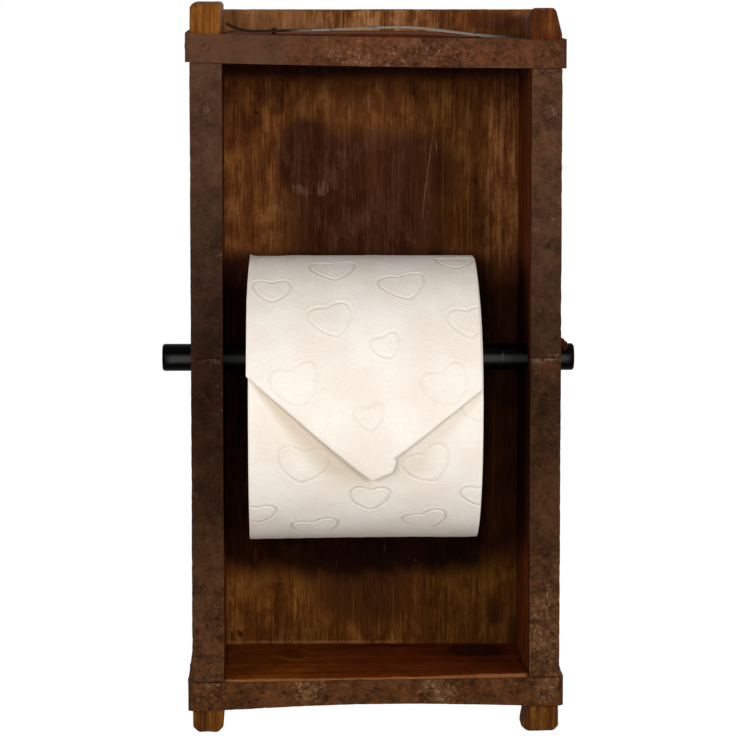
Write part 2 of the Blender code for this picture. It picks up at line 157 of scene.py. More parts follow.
class Finish:
    def __init__(self, name, **constants):
        self.material = bpy.data.materials.new(name)
        self.material.use_nodes = True
        self.tree = self.material.node_tree
        self.shader = self.tree.nodes["Principled BSDF"]
        self.place = self.add("ShaderNodeTexCoord", {}, {}, "Object")
        for socket, value in constants.items():
            self.shader.inputs[socket.replace("_", " ")].default_value = value

    def add(self, kind, settings, sockets, output=0):
        node = self.tree.nodes.new(kind)
        for name, value in settings.items():
            if name == "stops":
                ramp = node.color_ramp
                while len(ramp.elements) < len(value):
                    ramp.elements.new(1)
                for stop, (at, color) in zip(ramp.elements, value):
                    stop.position = at
                    stop.color = color
            else:
                setattr(node, name, value)
        for name, value in sockets.items():
            self.plug(node.inputs[name], value)
        return Wire(self, node.outputs[output])

    def plug(self, socket, value):
        if isinstance(value, Wire):
            self.tree.links.new(value.socket, socket)
        else:
            socket.default_value = value

    def space(self, scale, turn=(0, 0, 0), shift=(0, 0, 0)):
        sockets = {"Vector": self.place, "Scale": scale, "Rotation": turn, "Location": shift}
        return self.add("ShaderNodeMapping", {}, sockets)

    def axis(self, name):
        return self.add("ShaderNodeSeparateXYZ", {}, {0: self.place}, name)

    def noise(self, space, scale=1, detail=4, rough=0.55, bend=0):
        sockets = {
            "Vector": space, "Scale": scale, "Detail": detail,
            "Roughness": rough, "Distortion": bend,
        }
        return self.add("ShaderNodeTexNoise", {}, sockets)

    def cells(self, space, scale):
        return self.add("ShaderNodeTexVoronoi", {}, {"Vector": space, "Scale": scale})

    def between(self, value, low, high, start=0, end=1):
        sockets = {0: value, 1: low, 2: high, 3: start, 4: end}
        return self.add("ShaderNodeMapRange", {"interpolation_type": "SMOOTHSTEP"}, sockets)

    def mix(self, share, first, second, blend="MIX"):
        settings = {"data_type": "RGBA", "blend_type": blend}
        return self.add("ShaderNodeMix", settings, {0: share, 6: first, 7: second}, 2)

    def over(self, share, color, shade):
        # A shade, as the screen shows it, laid over a colour
        return self.mix(share, color, paint(*shade))

    def ramp(self, value, shades):
        stops = [(at, paint(*shade)) for at, shade in shades]
        return self.add("ShaderNodeValToRGB", {"stops": stops}, {0: value})

    def mark(self, name):
        # A value painted on the piece's own vertices
        return self.add("ShaderNodeAttribute", {"attribute_name": name}, {}, "Fac")

    def color(self, value):
        self.plug(self.shader.inputs["Base Color"], value)

    def dull(self, value):
        self.plug(self.shader.inputs["Roughness"], value)

    def relief(self, height, depth, strength=1):
        sockets = {"Height": height, "Distance": depth, "Strength": strength}
        self.plug(self.shader.inputs["Normal"], self.add("ShaderNodeBump", {}, sockets))


whiteTo = ("Is Camera Ray", "Is Glossy Ray", "Is Transmission Ray")


def litWhite(material, share):
    # Plain white to the camera and in reflections, and a lit surface to everything else
    finish = Finish(material)
    finish.color(paint(*light["floorPaint"]))
    rays = [finish.add("ShaderNodeLightPath", {}, {}, name) for name in whiteTo]
    seen = rays[0].math("MINIMUM", rays[0] + rays[1] + rays[2], 1)
    white = {"Color": (1, 1, 1, 1), "Strength": light["seenWhite"]}
    glow = finish.add("ShaderNodeEmission", {}, white)
    body = Wire(finish, finish.shader.outputs[0])
    both = finish.add("ShaderNodeMixShader", {}, {0: seen * share, 1: body, 2: glow})
    finish.plug(finish.tree.nodes["Material Output"].inputs["Surface"], both)
    return finish.material


def layFloor():
    bm = bmesh.new()
    bmesh.ops.create_grid(bm, x_segments=1, y_segments=1, size=light["floorSize"] / 2)
    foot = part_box("left_side_board")[0].z
    bmesh.ops.translate(bm, verts=bm.verts, vec=(0, 0, foot - light["floorDrop"]))
    fromMesh("floor", bm, litWhite("paleFloor", light["floorWhite"]))


def lightSurroundings():
    world = bpy.data.worlds.new("studio")
    bpy.context.scene.world = world
    world.use_nodes = True
    tree = world.node_tree
    path = tree.nodes.new("ShaderNodeLightPath")
    seen = path.outputs[whiteTo[0]]
    for name in whiteTo[1:]:
        add = tree.nodes.new("ShaderNodeMath")
        add.operation = "ADD"
        add.use_clamp = True
        tree.links.new(seen, add.inputs[0])
        tree.links.new(path.outputs[name], add.inputs[1])
        seen = add.outputs[0]
    level = tree.nodes.new("ShaderNodeMapRange")
    level.inputs[3].default_value = light["surroundings"]
    level.inputs[4].default_value = light["seenWhite"]
    tree.links.new(seen, level.inputs[0])
    sky = tree.nodes["Background"]
    sky.inputs["Color"].default_value = (1, 1, 1, 1)
    tree.links.new(level.outputs[0], sky.inputs["Strength"])


layFloor()
lightSurroundings()
print("Floor and surroundings")


# Ways to start from the CAD solid, and to age it

def looseCopy(node):
    bm = bmesh.new()
    bm.from_mesh(nodes[node].data)
    bmesh.ops.remove_doubles(bm, verts=bm.verts, dist=0.000001)
    bmesh.ops.dissolve_limit(bm, angle_limit=0.01, verts=bm.verts[:], edges=bm.edges[:])
    return bm


def cutThrough(bm, place, across):
    bmesh.ops.bisect_plane(
        bm, geom=bm.verts[:] + bm.edges[:] + bm.faces[:], dist=0.0000001,
        plane_co=place, plane_no=across,
    )


def sliceUp(bm, steps):
    # Even cuts through the whole piece, so that its faces can be dented
    for axis, step in enumerate(steps):
        places = [v.co[axis] for v in bm.verts]
        low, high = min(places), max(places)
        across = Vector([float(i == axis) for i in range(3)])
        count = round((high - low) / step)
        for i in range(1, count):
            cutThrough(bm, across * (low + (high - low) * i / count), across)


def smoothStep(value, low, high):
    # 0 at low, 1 at high; it falls where high is the smaller of the two
    share = min(1, max(0, (value - low) / (high - low)))
    return share * share * (3 - 2 * share)


def within(value, low, full, still, high):
    # 0 up to low, 1 from full to still, and 0 again past high
    return smoothStep(value, low, full) * smoothStep(value, high, still)


def blob(x, z, middleX, middleZ, halfX, halfZ):
    # 1 in the middle of a soft oval, 0 outside it
    away = math.hypot((x - middleX) / halfX, (z - middleZ) / halfZ)
    return smoothStep(away, 1, 0.45)


def anyBlob(p, blobs):
    return max(share * blob(p.x, p.z, *place) for share, *place in blobs)


def hump(value, middle, width):
    # 1 at the middle, falling away softly to both sides
    return np.exp(-((value - middle) / width) ** 2)


def lift(height):
    return Vector((0, 0, height))


def roundOff(bm, edges, width, steps):
    bmesh.ops.bevel(bm, geom=edges, offset=width, offset_type="OFFSET", segments=steps,
                    profile=0.5, affect="EDGES", material=-1)


def edgeDistance(point, low, high):
    near = sorted(min(point[i] - low[i], high[i] - point[i]) for i in range(3))
    return math.hypot(max(near[0], 0), max(near[1], 0))


def weather(bm, look, seed, bend, marks):
    # Push the surface in along the grain and chip its edges, and mark where it is worn
    bm.normal_update()
    wornMark = bm.verts.layers.float.new("worn")
    layers = {name: bm.verts.layers.float.new(name) for name in (marks or {})}
    low = Vector([min(v.co[i] for v in bm.verts) for i in range(3)])
    high = Vector([max(v.co[i] for v in bm.verts) for i in range(3)])
    shift = Vector((seed * 7.3, seed * 3.1, seed * 5.7))
    grain = Vector(look["grain"])
    moves = []
    for v in bm.verts:
        p = v.co
        fibre = 0.5 + 0.5 * noise.noise(p * grain + shift)
        dent = 0.5 + 0.5 * noise.noise(p * look["dentScale"] + shift)
        chip = noise.noise(p * look["chipScale"] + shift * 2)
        edge = hump(edgeDistance(p, low, high), 0, look["edgeReach"])
        v[wornMark] = edge * (0.55 + 0.45 * chip)
        for name, layer in layers.items():
            v[layer] = marks[name](p)
        depth = look["fibreDepth"] * fibre + look["dentDepth"] * dent
        depth += look["chipDepth"] * edge * max(0, chip + look["chipShare"])
        moves.append(p - v.normal * depth + (bend(p) if bend else lift(0)))
    for v, place in zip(bm.verts, moves):
        v.co = place


def agedCopy(node, steps, look, seed, bend=None, marks=None):
    bm = looseCopy(node)
    sliceUp(bm, steps)
    weather(bm, look, seed, bend, marks)
    return bm


def pieceName(node):
    first, *others = node.split("_")
    return first + "".join(word.title() for word in others)


def settle(bm, body, node, finish, sharp=38, name=None):
    # Make the piece, hang it on its body and let it stand for the CAD node
    piece = fromMesh(name or pieceName(node), bm, finish.material)
    piece.data.shade_smooth()
    piece.data.set_sharp_from_angle(angle=math.radians(sharp))
    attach(piece, body)
    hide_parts(node)


# Boards

timber = {
    "grain": (420, 420, 30),  # dents per metre along X, Y and Z
    "dentScale": 55,
    "chipScale": 210,
    "edgeReach": 0.0016,
    "fibreDepth": 0.00018,
    "dentDepth": 0.00022,
    "chipDepth": 0.0007,
    "chipShare": 0.15,
}


def grainNoise(finish, look, along, across, detail, rough, bend=0):
    stretch = [along if i == look["axis"] else across for i in range(3)]
    return finish.noise(finish.space(stretch, shift=look["shift"]), 1, detail, rough, bend) - 0.5


def lineMask(finish, x, low, high, width, lean=0, bow=0):
    # A thin line up the board, which wanders a little and thins out at both ends
    height = finish.axis("Z")
    middle = (low + high) / 2
    drift = (finish.noise(finish.space((0, 0, 55)), 1, 4, 0.6) - 0.5) * 0.0028
    curve = (height - middle).math("POWER", (height - middle).size(), 2) * bow
    away = (finish.axis("X") - (drift + curve + height * lean + (x - middle * lean))).size()
    third = (high - low) * 0.3
    ends = finish.between(height, low, low + third) * finish.between(height, high, high - third)
    return finish.between(away, width, width * 0.3) * ends


def woodFinish(name, look):
    finish = Finish(name, Specular_IOR_Level=look["shine"])
    fibres = grainNoise(finish, look, 120, 2100, 4, 0.62)
    streaks = grainNoise(finish, look, 30, 640, 5, 0.66, 0.5)
    bands = grainNoise(finish, look, 8, 110, 3, 0.55, 0.6)
    pores = grainNoise(finish, look, 190, 2600, 2, 0.5)
    hairs = grainNoise(finish, look, 15, 1050, 3, 0.6, 0.25)
    clouds = finish.noise(finish.space((58, 58, 34), shift=look["shift"]), 1, 6, 0.66, 0.5) - 0.5
    mottles = finish.noise(finish.space((190, 190, 95), shift=look["shift"]), 1, 5, 0.66, 0.4) - 0.5
    grain = look.get("grain", 1)
    soft = (clouds * 0.85 + mottles * 0.7) * (1 / grain)
    tone = fibres * 0.48 + (streaks * 0.48 + bands * 0.4) * grain + soft + 0.5
    color = finish.ramp(tone, ((0.2, look["deep"]), (0.5, look["middle"]), (0.8, look["light"])))
    color = finish.over(finish.between(hairs, 0.08, 0.2, 0, 0.55), color, look["deep"])
    color = finish.over(finish.between(hairs, -0.08, -0.2, 0, 0.4), color, look["light"])
    ragged = clouds * 2.2 + mottles * 1.3 + streaks * 0.9 + fibres * 0.4
    for mark, tint, strength in look["tints"]:
        patch = finish.between(finish.mark(mark) * 1.5 + ragged, 0.3, 1.25, 0, strength)
        color = finish.mix(patch, color, (*tint, 1), "MULTIPLY")
    for mark, shade, strength in look["marks"]:
        broken = streaks * 2.2 + fibres * 1.6 + mottles * 1.5
        patch = finish.between(finish.mark(mark) + broken, 0.45, 1.0, 0, strength)
        color = finish.over(patch, color, shade)
    if "seam" in look:
        # Pale broken line where the bottom end board meets the back board
        place = (finish.axis("Z") - look["seam"][0]).size()
        left = finish.between(finish.axis("X") + streaks * 0.1, 0.02, -0.01)
        left = left * finish.between(finish.axis("Y"), -0.007, -0.0085)
        seam = finish.between(place, 0.0008, 0.0003, 0, 0.8) * left
        seam = seam * finish.between(mottles, -0.12, 0.1, 0.4, 1)
        color = finish.over(seam, color, look["seam"][1])
        stripes = finish.between(streaks + mottles * 0.5, 0.0, 0.12) * finish.mark("streak")
        color = finish.over(stripes * 0.4, color, look["light"])
    color = finish.over(finish.between(pores, 0.1, 0.2, 0, 0.35), color, look["deep"])
    broken = finish.between(fibres + mottles * 0.8 + streaks, -0.14, 0.04, 0.25, 1)
    for shade, strength, lines in look["lines"]:
        for line in lines:
            color = finish.over(lineMask(finish, *line) * broken * strength, color, shade)
    worn = finish.between(finish.mark("worn") + fibres, 0.35, 0.95, 0, 0.7)
    color = finish.over(worn, color, look["bare"])
    finish.color(color)
    finish.dull(0.74 - fibres * 0.3)
    finish.relief(fibres * 0.8 + streaks * 0.5 + pores * 0.4, 0.0011, 0.6)
    return finish


backLook = {
    "axis": 2, "shift": (0.3, 0.1, 0.2), "shine": 0.05,
    "deep": (50, 25, 10), "middle": (104, 57, 23), "light": (156, 102, 56), "bare": (146, 100, 64),
    "tints": (
        ("gold", (1.32, 1.32, 1.32), 1),
        ("upper", (1.34, 1.42, 1.36), 0.6),
        ("low", (0.82, 0.82, 0.5), 1),
        ("band", (1.55, 1.9, 2.7), 1),
        ("olive", (0.78, 0.8, 0.62), 1),
        ("stain", (0.42, 0.4, 0.62), 1),
        # painted shade: under the top board, behind the roll and in the lower right corner
        ("shade", (0.2, 0.14, 0.15), 1),
    ),
    "marks": (("pale", (134, 98, 74), 0.45), ("band", (150, 104, 66), 0.45)),
    "seam": (-0.1352, (150, 100, 60)),
    "lines": (
        ((14, 7, 4), 0.55, (
            (-0.0269, 0.104, 0.124, 0.0004), (0.0317, 0.1445, 0.158, 0.0006),
            (-0.0335, -0.139, -0.11, 0.0009), (-0.013, 0.148, 0.156, 0.0004),
            (0.005, -0.128, -0.098, 0.0003), (0.0205, -0.136, -0.118, 0.0004),
        )),
        ((164, 116, 74), 0.38, (
            (0.0262, 0.052, 0.12, 0.00045, 0.13), (0.0535, 0.04, 0.124, 0.0008, 0.035),
            (0.059, 0.055, 0.12, 0.0006, 0.02), (0.0646, 0.044, 0.112, 0.001),
            (-0.044, 0.052, 0.078, 0.0009),
        )),
    ),
}


def backMarks():
    def gold(p):
        left = smoothStep(p.x, -0.03, -0.056) * smoothStep(p.z, 0.14, 0.125)
        top = smoothStep(p.z, 0.1405, 0.145) * smoothStep(p.x, -0.02, -0.045)
        return max(left, 0.9 * top, 0.6 * blob(p.x, p.z, -0.05, -0.115, 0.03, 0.04))

    def upper(p):
        return within(p.z, 0.096, 0.114, 0.122, 0.13) * smoothStep(p.x, 0.04, 0.028)

    def low(p):
        return smoothStep(p.z, -0.085, -0.1)

    def band(p):
        fade = 1 - 0.6 * smoothStep(p.x, -0.04, -0.015) - 0.35 * smoothStep(p.x, 0.03, 0.045)
        return 1.2 * smoothStep(p.z, 0.1405, 0.145) * fade

    def olive(p):
        right = within(p.x, 0.024, 0.034, 0.05, 0.056)
        foot = smoothStep(p.x, 0.015, 0.03) * smoothStep(p.z, -0.08, -0.09)
        return max(right * smoothStep(p.z, 0.135, 0.105), foot)

    def pale(p):
        return anyBlob(p, (
            (0.9, -0.0335, 0.0742, 0.0045, 0.003), (0.8, -0.0282, 0.073, 0.005, 0.0024),
            (1.0, -0.0226, 0.0745, 0.004, 0.005), (0.8, -0.0262, 0.0768, 0.0022, 0.0052),
            (0.8, 0.0288, 0.097, 0.0024, 0.0028), (0.7, 0.0292, 0.0925, 0.002, 0.003),
            (0.7, 0.0209, -0.0971, 0.002, 0.002), (0.7, 0.008, -0.1054, 0.002, 0.002),
            (0.8, 0.0154, -0.1232, 0.003, 0.003), (0.8, -0.0005, 0.1135, 0.004, 0.003),
            (0.8, 0.011, 0.108, 0.006, 0.0015), (0.7, -0.008, 0.1075, 0.005, 0.001),
        ))

    def stain(p):
        loose = smoothStep(p.z, 0.086, 0.064)
        wide = within(p.x, -0.0425 - 0.01 * loose, -0.035 + 0.012 * loose, 0.027, 0.042)
        tall = within(p.z, 0, 0.03, 0.09, 0.116)
        spots = anyBlob(p, (
            (0.75, -0.029, 0.094, 0.019, 0.018), (0.95, -0.022, 0.084, 0.02, 0.024),
            (0.85, -0.033, 0.086, 0.014, 0.022), (1.1, -0.002, 0.054, 0.036, 0.03),
            (0.74, 0.02, 0.082, 0.026, 0.028),
            (0.62, -0.002, -0.11, 0.034, 0.026), (0.8, 0.057, -0.121, 0.006, 0.011),
            (0.6, 0.056, 0.15, 0.018, 0.007), (0.5, 0.01, -0.096, 0.06, 0.012),
        ))
        return max(0.72 * wide * tall, spots)

    # Painted shade: the shadow under the top board and behind the roll, darker in the lower right
    # corner, and a few small dark spots
    def shade(p):
        under = within(p.z, 0.117, 0.131, 0.1385, 0.144)
        foot = -0.085 - 0.006 * hump(p.x, -0.004, 0.03)
        top = 0.036 + 0.004 * smoothStep(p.x, 0.05, 0.06)
        behind = within(p.z, foot - 0.026, foot, top, top + 0.016)
        behind *= 1 - 0.45 * smoothStep(p.x, 0.044, 0.056)
        corner = smoothStep(p.x, 0.058, 0.066) * smoothStep(p.z, -0.11, -0.128)
        spots = anyBlob(p, (
            (1.0, -0.0524, 0.1088, 0.0022, 0.0016), (0.9, -0.0646, -0.1325, 0.002, 0.002),
            (0.9, -0.0605, -0.1316, 0.002, 0.002), (0.5, 0.057, -0.121, 0.0035, 0.008),
        ))
        return max(0.9 * under, 1.1 * behind, 0.6 * corner, spots)

    def streak(p):
        middle = 0.06 + (p.z - 0.085) * 0.03
        across = smoothStep(abs(p.x - middle), 0.0075, 0.0055)
        return across * within(p.z, 0.03, 0.05, 0.118, 0.13)

    def onFront(mark):
        # The marks are on the face that looks into the box, and not on the rear
        return lambda p: mark(p) * smoothStep(p.y, -0.006, -0.0088)

    marks = dict(gold=gold, upper=upper, low=low, band=band, olive=olive, pale=pale,
                 stain=stain, shade=shade, streak=streak)
    return {name: onFront(mark) for name, mark in marks.items()}


sideLook = {
    "axis": 2, "shift": (0.7, 0.2, 0.4), "shine": 0.05,
    "deep": (44, 18, 6), "middle": (86, 38, 10), "light": (128, 68, 26), "bare": (122, 74, 38),
    "grain": 1.6,
    "tints": (
        ("honey", (1.5, 2.15, 1.7), 1), ("olive", (1.15, 1.75, 1.3), 1),
        # inner: darker along the front inner edge, and painted shadow of the roll on the inner wall
        ("outer", (1.1, 1.35, 1.9), 1), ("inner", (0.34, 0.26, 0.45), 1),
    ),
    "marks": (),
    "lines": (),
}
endLook = {
    "axis": 0, "shift": (0.1, 0.5, 0.9), "shine": 0.05, "grain": 1.3,
    "deep": (64, 24, 3), "middle": (108, 46, 5), "light": (146, 76, 16), "bare": (172, 118, 72),
    "tints": (
        # under: painted shade on the top board's lowest part and underside
        ("burn", (0.35, 0.35, 0.5), 1), ("under", (0.12, 0.1, 0.14), 1),
        # lit and dim: painted light at the bottom board's left, painted shade towards its right
        ("lit", (1.3, 1.55, 1.0), 1), ("dim", (0.78, 0.68, 0.6), 1), ("lip", (0.5, 0.48, 0.8), 1),
    ),
    "marks": (("edge", (142, 92, 54), 0.7),),
    "lines": (),
}


boardWear = {
    "postTop": 0.0038,  # how much lower the right post's top is at the wall
    "footWider": 0.0031,  # how much wider its foot is in front, on the inside
    "footTaper": 0.0022,  # how much of that is gone where the foot begins
    "capDrop": 0.0023,  # how much lower the top end board is at the right
    "frontRise": 0.0023,  # how much higher the bottom one's front is at the right
    "longer": 0.0011,  # how much further the bottom one's upper ends run
    "hollow": 0.0032,  # how deep it is hollowed underneath
}


def wornPost(p):
    # The right board's top is worn down towards the wall, and its foot is fuller on the inside
    if p.z > 0.148:
        return lift(-boardWear["postTop"] * smoothStep(p.y, -0.094, -0.06))
    fuller = smoothStep(p.z, -0.148, -0.15) * smoothStep(p.x, 0.076, 0.0675)
    fuller *= smoothStep(p.y, -0.05, -0.085)
    wider = boardWear["footWider"] - boardWear["footTaper"] * smoothStep(p.z, -0.1575, -0.15)
    return Vector((-fuller * wider, 0, 0))


def innerShade(p):
    # Darker along the front inner edge, and painted shadow of the roll on the inner wall beside it
    if abs(p.z) > 0.141:
        return 0
    edge = smoothStep(abs(p.x), 0.0705, 0.069) * smoothStep(p.y, -0.0915, -0.0935)
    beside = within(p.z, -0.1, -0.07, 0.036, 0.056)
    return max(edge, 0.8 * beside * (abs(p.x) < 0.0675))


def capDrop(x):
    # The top end board, and the thin strip on it, are worn lower towards the right
    return boardWear["capDrop"] * smoothStep(x, 0.012, 0.06)


def lowTop(p):
    return lift(-capDrop(p.x) if p.z > 0.144 else 0)


def arch(x):
    # The arch that the bottom band and the board behind it are worn to, 1 in the middle
    return math.cos(x / 0.079 * math.pi / 2) ** 1.3


def lowRise(p):
    # The bottom end board's front edge stands higher towards the right, and is hollow underneath
    if p.z > -0.1375:
        longer = math.copysign(boardWear["longer"] * smoothStep(abs(p.x), 0.063, 0.0652), p.x)
        rise = boardWear["frontRise"] * ((p.x + 0.066) / 0.132) ** 2
        return Vector((longer, 0, rise * smoothStep(p.y, -0.055, -0.096)))
    return lift(boardWear["hollow"] * arch(p.x) if p.z < -0.147 else 0)


splinter = {
    "place": (0.0817, -0.085, 0.0108),
    "size": (0.0024, 0.003, 0.0027),
    "lean": 0.001,
}


def addSplinter(bm):
    # A splinter of wood stands off the right board above the rod's bore
    dark = bm.verts.layers.float["splinter"]
    chip = bmesh.ops.create_icosphere(bm, subdivisions=3, radius=1)["verts"]
    for v in chip:
        rough = 1 + 0.25 * noise.noise(v.co * 2.3)
        v[dark] = 1.2 if v.co.z < 0.75 else 0
        lean = Vector((-v.co.z * splinter["lean"], 0, 0))
        v.co = Vector(splinter["place"]) + v.co * Vector(splinter["size"]) * rough + lean


def makeBoards():
    finish = woodFinish("oldBackWood", backLook)
    bm = agedCopy("back_board", (0.0017, 0.0025, 0.0026), timber, 1, marks=backMarks())
    settle(bm, "box", "back_board", finish)

    left = woodFinish("oldLeftWood", sideLook)
    redder = dict(sideLook, middle=(82, 34, 8), shift=(0.2, 0.9, 0.6))
    redder["tints"] = (
        ("honey", (0.88, 1.16, 1.5), 1), ("olive", (1.0, 1.6, 1.3), 1),
        ("splinter", (0.58, 0.4, 0.6), 1),
        # inner: darker along the front inner edge, and painted shadow of the roll on the inner wall
        ("outer", (1.15, 1.5, 2.2), 1), ("inner", (0.34, 0.26, 0.45), 1),
    )
    right = woodFinish("oldRightWood", redder)
    marks = {
        "honey": lambda p: smoothStep(p.z, 0.144, 0.1475),
        "olive": lambda p: smoothStep(p.z, -0.147, -0.1505),
        "splinter": lambda p: 0,
        "outer": lambda p: 1.2 * smoothStep(abs(p.x), 0.0786, 0.0796) * (abs(p.z) < 0.1415),
        "inner": innerShade,
    }
    for side, look, seed in (("left", left, 2), ("right", right, 3)):
        node = side + "_side_board"
        bend = wornPost if side == "right" else None
        bm = agedCopy(node, (0.002, 0.0022, 0.0026), timber, seed, bend, marks)
        if side == "right":
            addSplinter(bm)
        settle(bm, "box", node, look)

    top = woodFinish("oldTopWood", dict(endLook, bare=(90, 50, 28), marks=()))
    bottom = woodFinish("oldBottomWood", endLook)
    crossGrain = dict(timber, grain=(30, 420, 420))
    marks = {
        "burn": lambda p: blob(p.x, p.y, 0.048, -0.03, 0.02, 0.02),
        "edge": lambda p: 1.2 * smoothStep(p.y, -0.0935, -0.0958),
        # Painted shade on the top board's lowest part and underside
        "under": lambda p: 1.2 * smoothStep(p.z, 0.1375, 0.133) * (p.z > 0),
        # Painted light at the bottom board's left end, and painted shade towards its right
        "lit": lambda p: smoothStep(p.x, -0.015, -0.055) * (p.z < 0),
        "dim": lambda p: smoothStep(p.x, -0.035, 0.005) * (p.z < 0),
        "lip": lambda p: 1.2 * smoothStep(p.y, -0.086, -0.09) * (p.z > 0.139),
    }
    for level, look, bend, seed in (("top", top, lowTop, 4), ("bottom", bottom, lowRise, 5)):
        node = level + "_end_board"
        bm = agedCopy(node, (0.0022, 0.002, 0.0022), crossGrain, seed, bend, marks)
        settle(bm, "box", node, look)


makeBoards()
print("Boards")


# Iron straps

iron = {
    "grain": (150, 150, 150),
    "dentScale": 48,
    "chipScale": 320,
    "edgeReach": 0.001,
    "fibreDepth": 0.00012,
    "dentDepth": 0.00016,
    "chipDepth": 0.00035,
    "chipShare": 0.1,
}


def ironFinish(name, look):
    finish = Finish(name, Specular_IOR_Level=look["shine"])
    color = finish.ramp(finish.between(finish.axis("Z"), -0.15, 0.15), look["ramp"])
    plain = finish.space((1, 1, 1), shift=look["shift"])
    clouds = finish.noise(plain, 60, 5, 0.62, 0.6) - 0.5
    scale = finish.noise(plain, 230, 7, 0.74, 0.2) - 0.5
    grit = finish.noise(plain, 620, 5, 0.75) - 0.5
    pits = finish.noise(plain, 380, 3, 0.6, 0.5) - 0.5
    rough = 1.15 - finish.mark("calm")
    tone = finish.between(clouds * 1.3 + (scale * 1.7 + grit * 1.2) * rough, -0.65, 0.65, 0.28, 1.8)
    grey = finish.add("ShaderNodeCombineXYZ", {}, {0: tone, 1: tone, 2: tone})
    color = finish.mix(1, color, grey, "MULTIPLY")
    rusty = finish.noise(plain, 110, 6, 0.7, 0.8) - 0.5
    rust = finish.between(rusty + grit * 0.4, 0.03, 0.2, 0, look["rust"])
    color = finish.over(rust, color, look["orange"])
    for mark, shade, strength in look["marks"]:
        patch = finish.between(finish.mark(mark) + scale * 2.4 + grit * 2.2, 0.4, 1.1, 0, strength)
        color = finish.over(patch, color, shade)
    dark = finish.between(pits * rough, 0.12, 0.24, 0, 0.7)
    color = finish.over(dark, color, look["dark"])
    where = finish.noise(plain, 45, 3) - 0.5 + finish.mark("bloom") * 0.45
    where = finish.between(where - finish.mark("calm") * 0.3, 0, 0.25)
    specks = finish.between(grit + scale * 0.6, 0.06, 0.22, 0, look["specks"]) * where
    color = finish.over(specks, color, look["pale"])
    worn = finish.between(finish.mark("worn") + grit, 0.4, 0.95, 0, look["edge"])
    color = finish.over(worn, color, look["bare"])
    finish.color(color)
    finish.dull(0.8 - scale * 0.3)
    finish.relief(scale * 0.8 + grit * 0.35 + clouds * 0.5 - dark * 0.5, 0.0011, 0.75)
    return finish


bandLook = {
    "ramp": ((0, (74, 43, 20)), (0.5, (60, 38, 24)), (1, (84, 51, 31))), "shine": 0.05,
    "shift": (0.2, 0.4, 0.1), "dark": (34, 22, 15), "orange": (96, 53, 30), "pale": (158, 130, 96),
    "bare": (104, 74, 50), "rust": 0.55, "specks": 0.55, "edge": 0.4,
    "marks": (
        ("greyer", (82, 58, 44), 0.6), ("bloom", (118, 88, 58), 0.35),
        ("orangeSpot", (104, 54, 31), 0.45), ("rim", (128, 92, 66), 0.8),
    ),
}
stripLook = {
    "ramp": (
        (0, (74, 46, 25)), (0.18, (54, 33, 18)), (0.45, (44, 26, 14)),
        (0.72, (52, 34, 23)), (1, (74, 50, 34)),
    ),
    "shine": 0.05, "shift": (0.6, 0.1, 0.8), "dark": (26, 17, 12), "orange": (70, 40, 25),
    "pale": (128, 104, 80), "bare": (88, 66, 50), "rust": 0.45, "specks": 0.55, "edge": 0.35,
    "marks": (
        ("bloom", (104, 78, 54), 0.4), ("orangeSpot", (88, 50, 30), 0.5),
        ("seam", (132, 108, 86), 0.8), ("rim", (122, 84, 64), 0.8),
    ),
}


def bloom(p):
    # Pale specks gather on the bottom band and on the right strip's lower end
    return anyBlob(p, (
        (1, 0.0262, -0.1405, 0.01, 0.012), (0.8, -0.029, -0.1405, 0.012, 0.01),
        (1, 0.0748, -0.14, 0.008, 0.009), (0.6, -0.073, -0.141, 0.009, 0.01),
        (0.7, 0.0735, -0.114, 0.01, 0.03), (0.4, 0.01, 0.138, 0.045, 0.008),
    ))


def calm(p):
    # How much smoother the rust is than at its roughest: most on the left, least towards the bottom
    if p.z > 0.128:
        return 0.6 * smoothStep(p.x, 0.0, -0.05)
    return (0.6 if p.x < 0 else 0.35) * smoothStep(p.z, -0.11, -0.06)


def greyer(p):
    return smoothStep(p.x, -0.02, -0.05) * smoothStep(p.z, 0.126, 0.13)


def orangeSpot(p):
    return anyBlob(p, (
        (1, 0.0741, 0.001, 0.009, 0.006), (0.9, -0.006, 0.1415, 0.017, 0.006),
        (0.7, 0.05, 0.138, 0.04, 0.007),
    ))


def seamLine(p):
    # The strips' ends are bare where they meet
    return 1.25 * hump(p.z, 0.0052, 0.0007 if p.x < 0 else 0.001)


strapWear = {
    "sag": 0.0004,  # how low the top band lies
    "middleSag": 0.0005,  # how much lower in its middle
    "width": 0.165,  # of that middle
    "arch": 0.002,  # how far the bottom band's lower edge is gone in the middle
    "stripSlip": 0.0002,  # how low the edge strips' upper ends lie
}


def strapSag(x):
    middle = max(0, math.cos(x * math.pi / strapWear["width"]))
    return -strapWear["sag"] - strapWear["middleSag"] * middle


def sagBand(p):
    return lift(strapSag(p.x))


def archBand(p):
    worn = p.z <= -0.1405 and abs(p.x) <= 0.079
    return lift(strapWear["arch"] * arch(p.x) if worn else 0)


def slipStrip(p):
    return lift(-strapWear["stripSlip"] if p.z > 0.12 else 0)


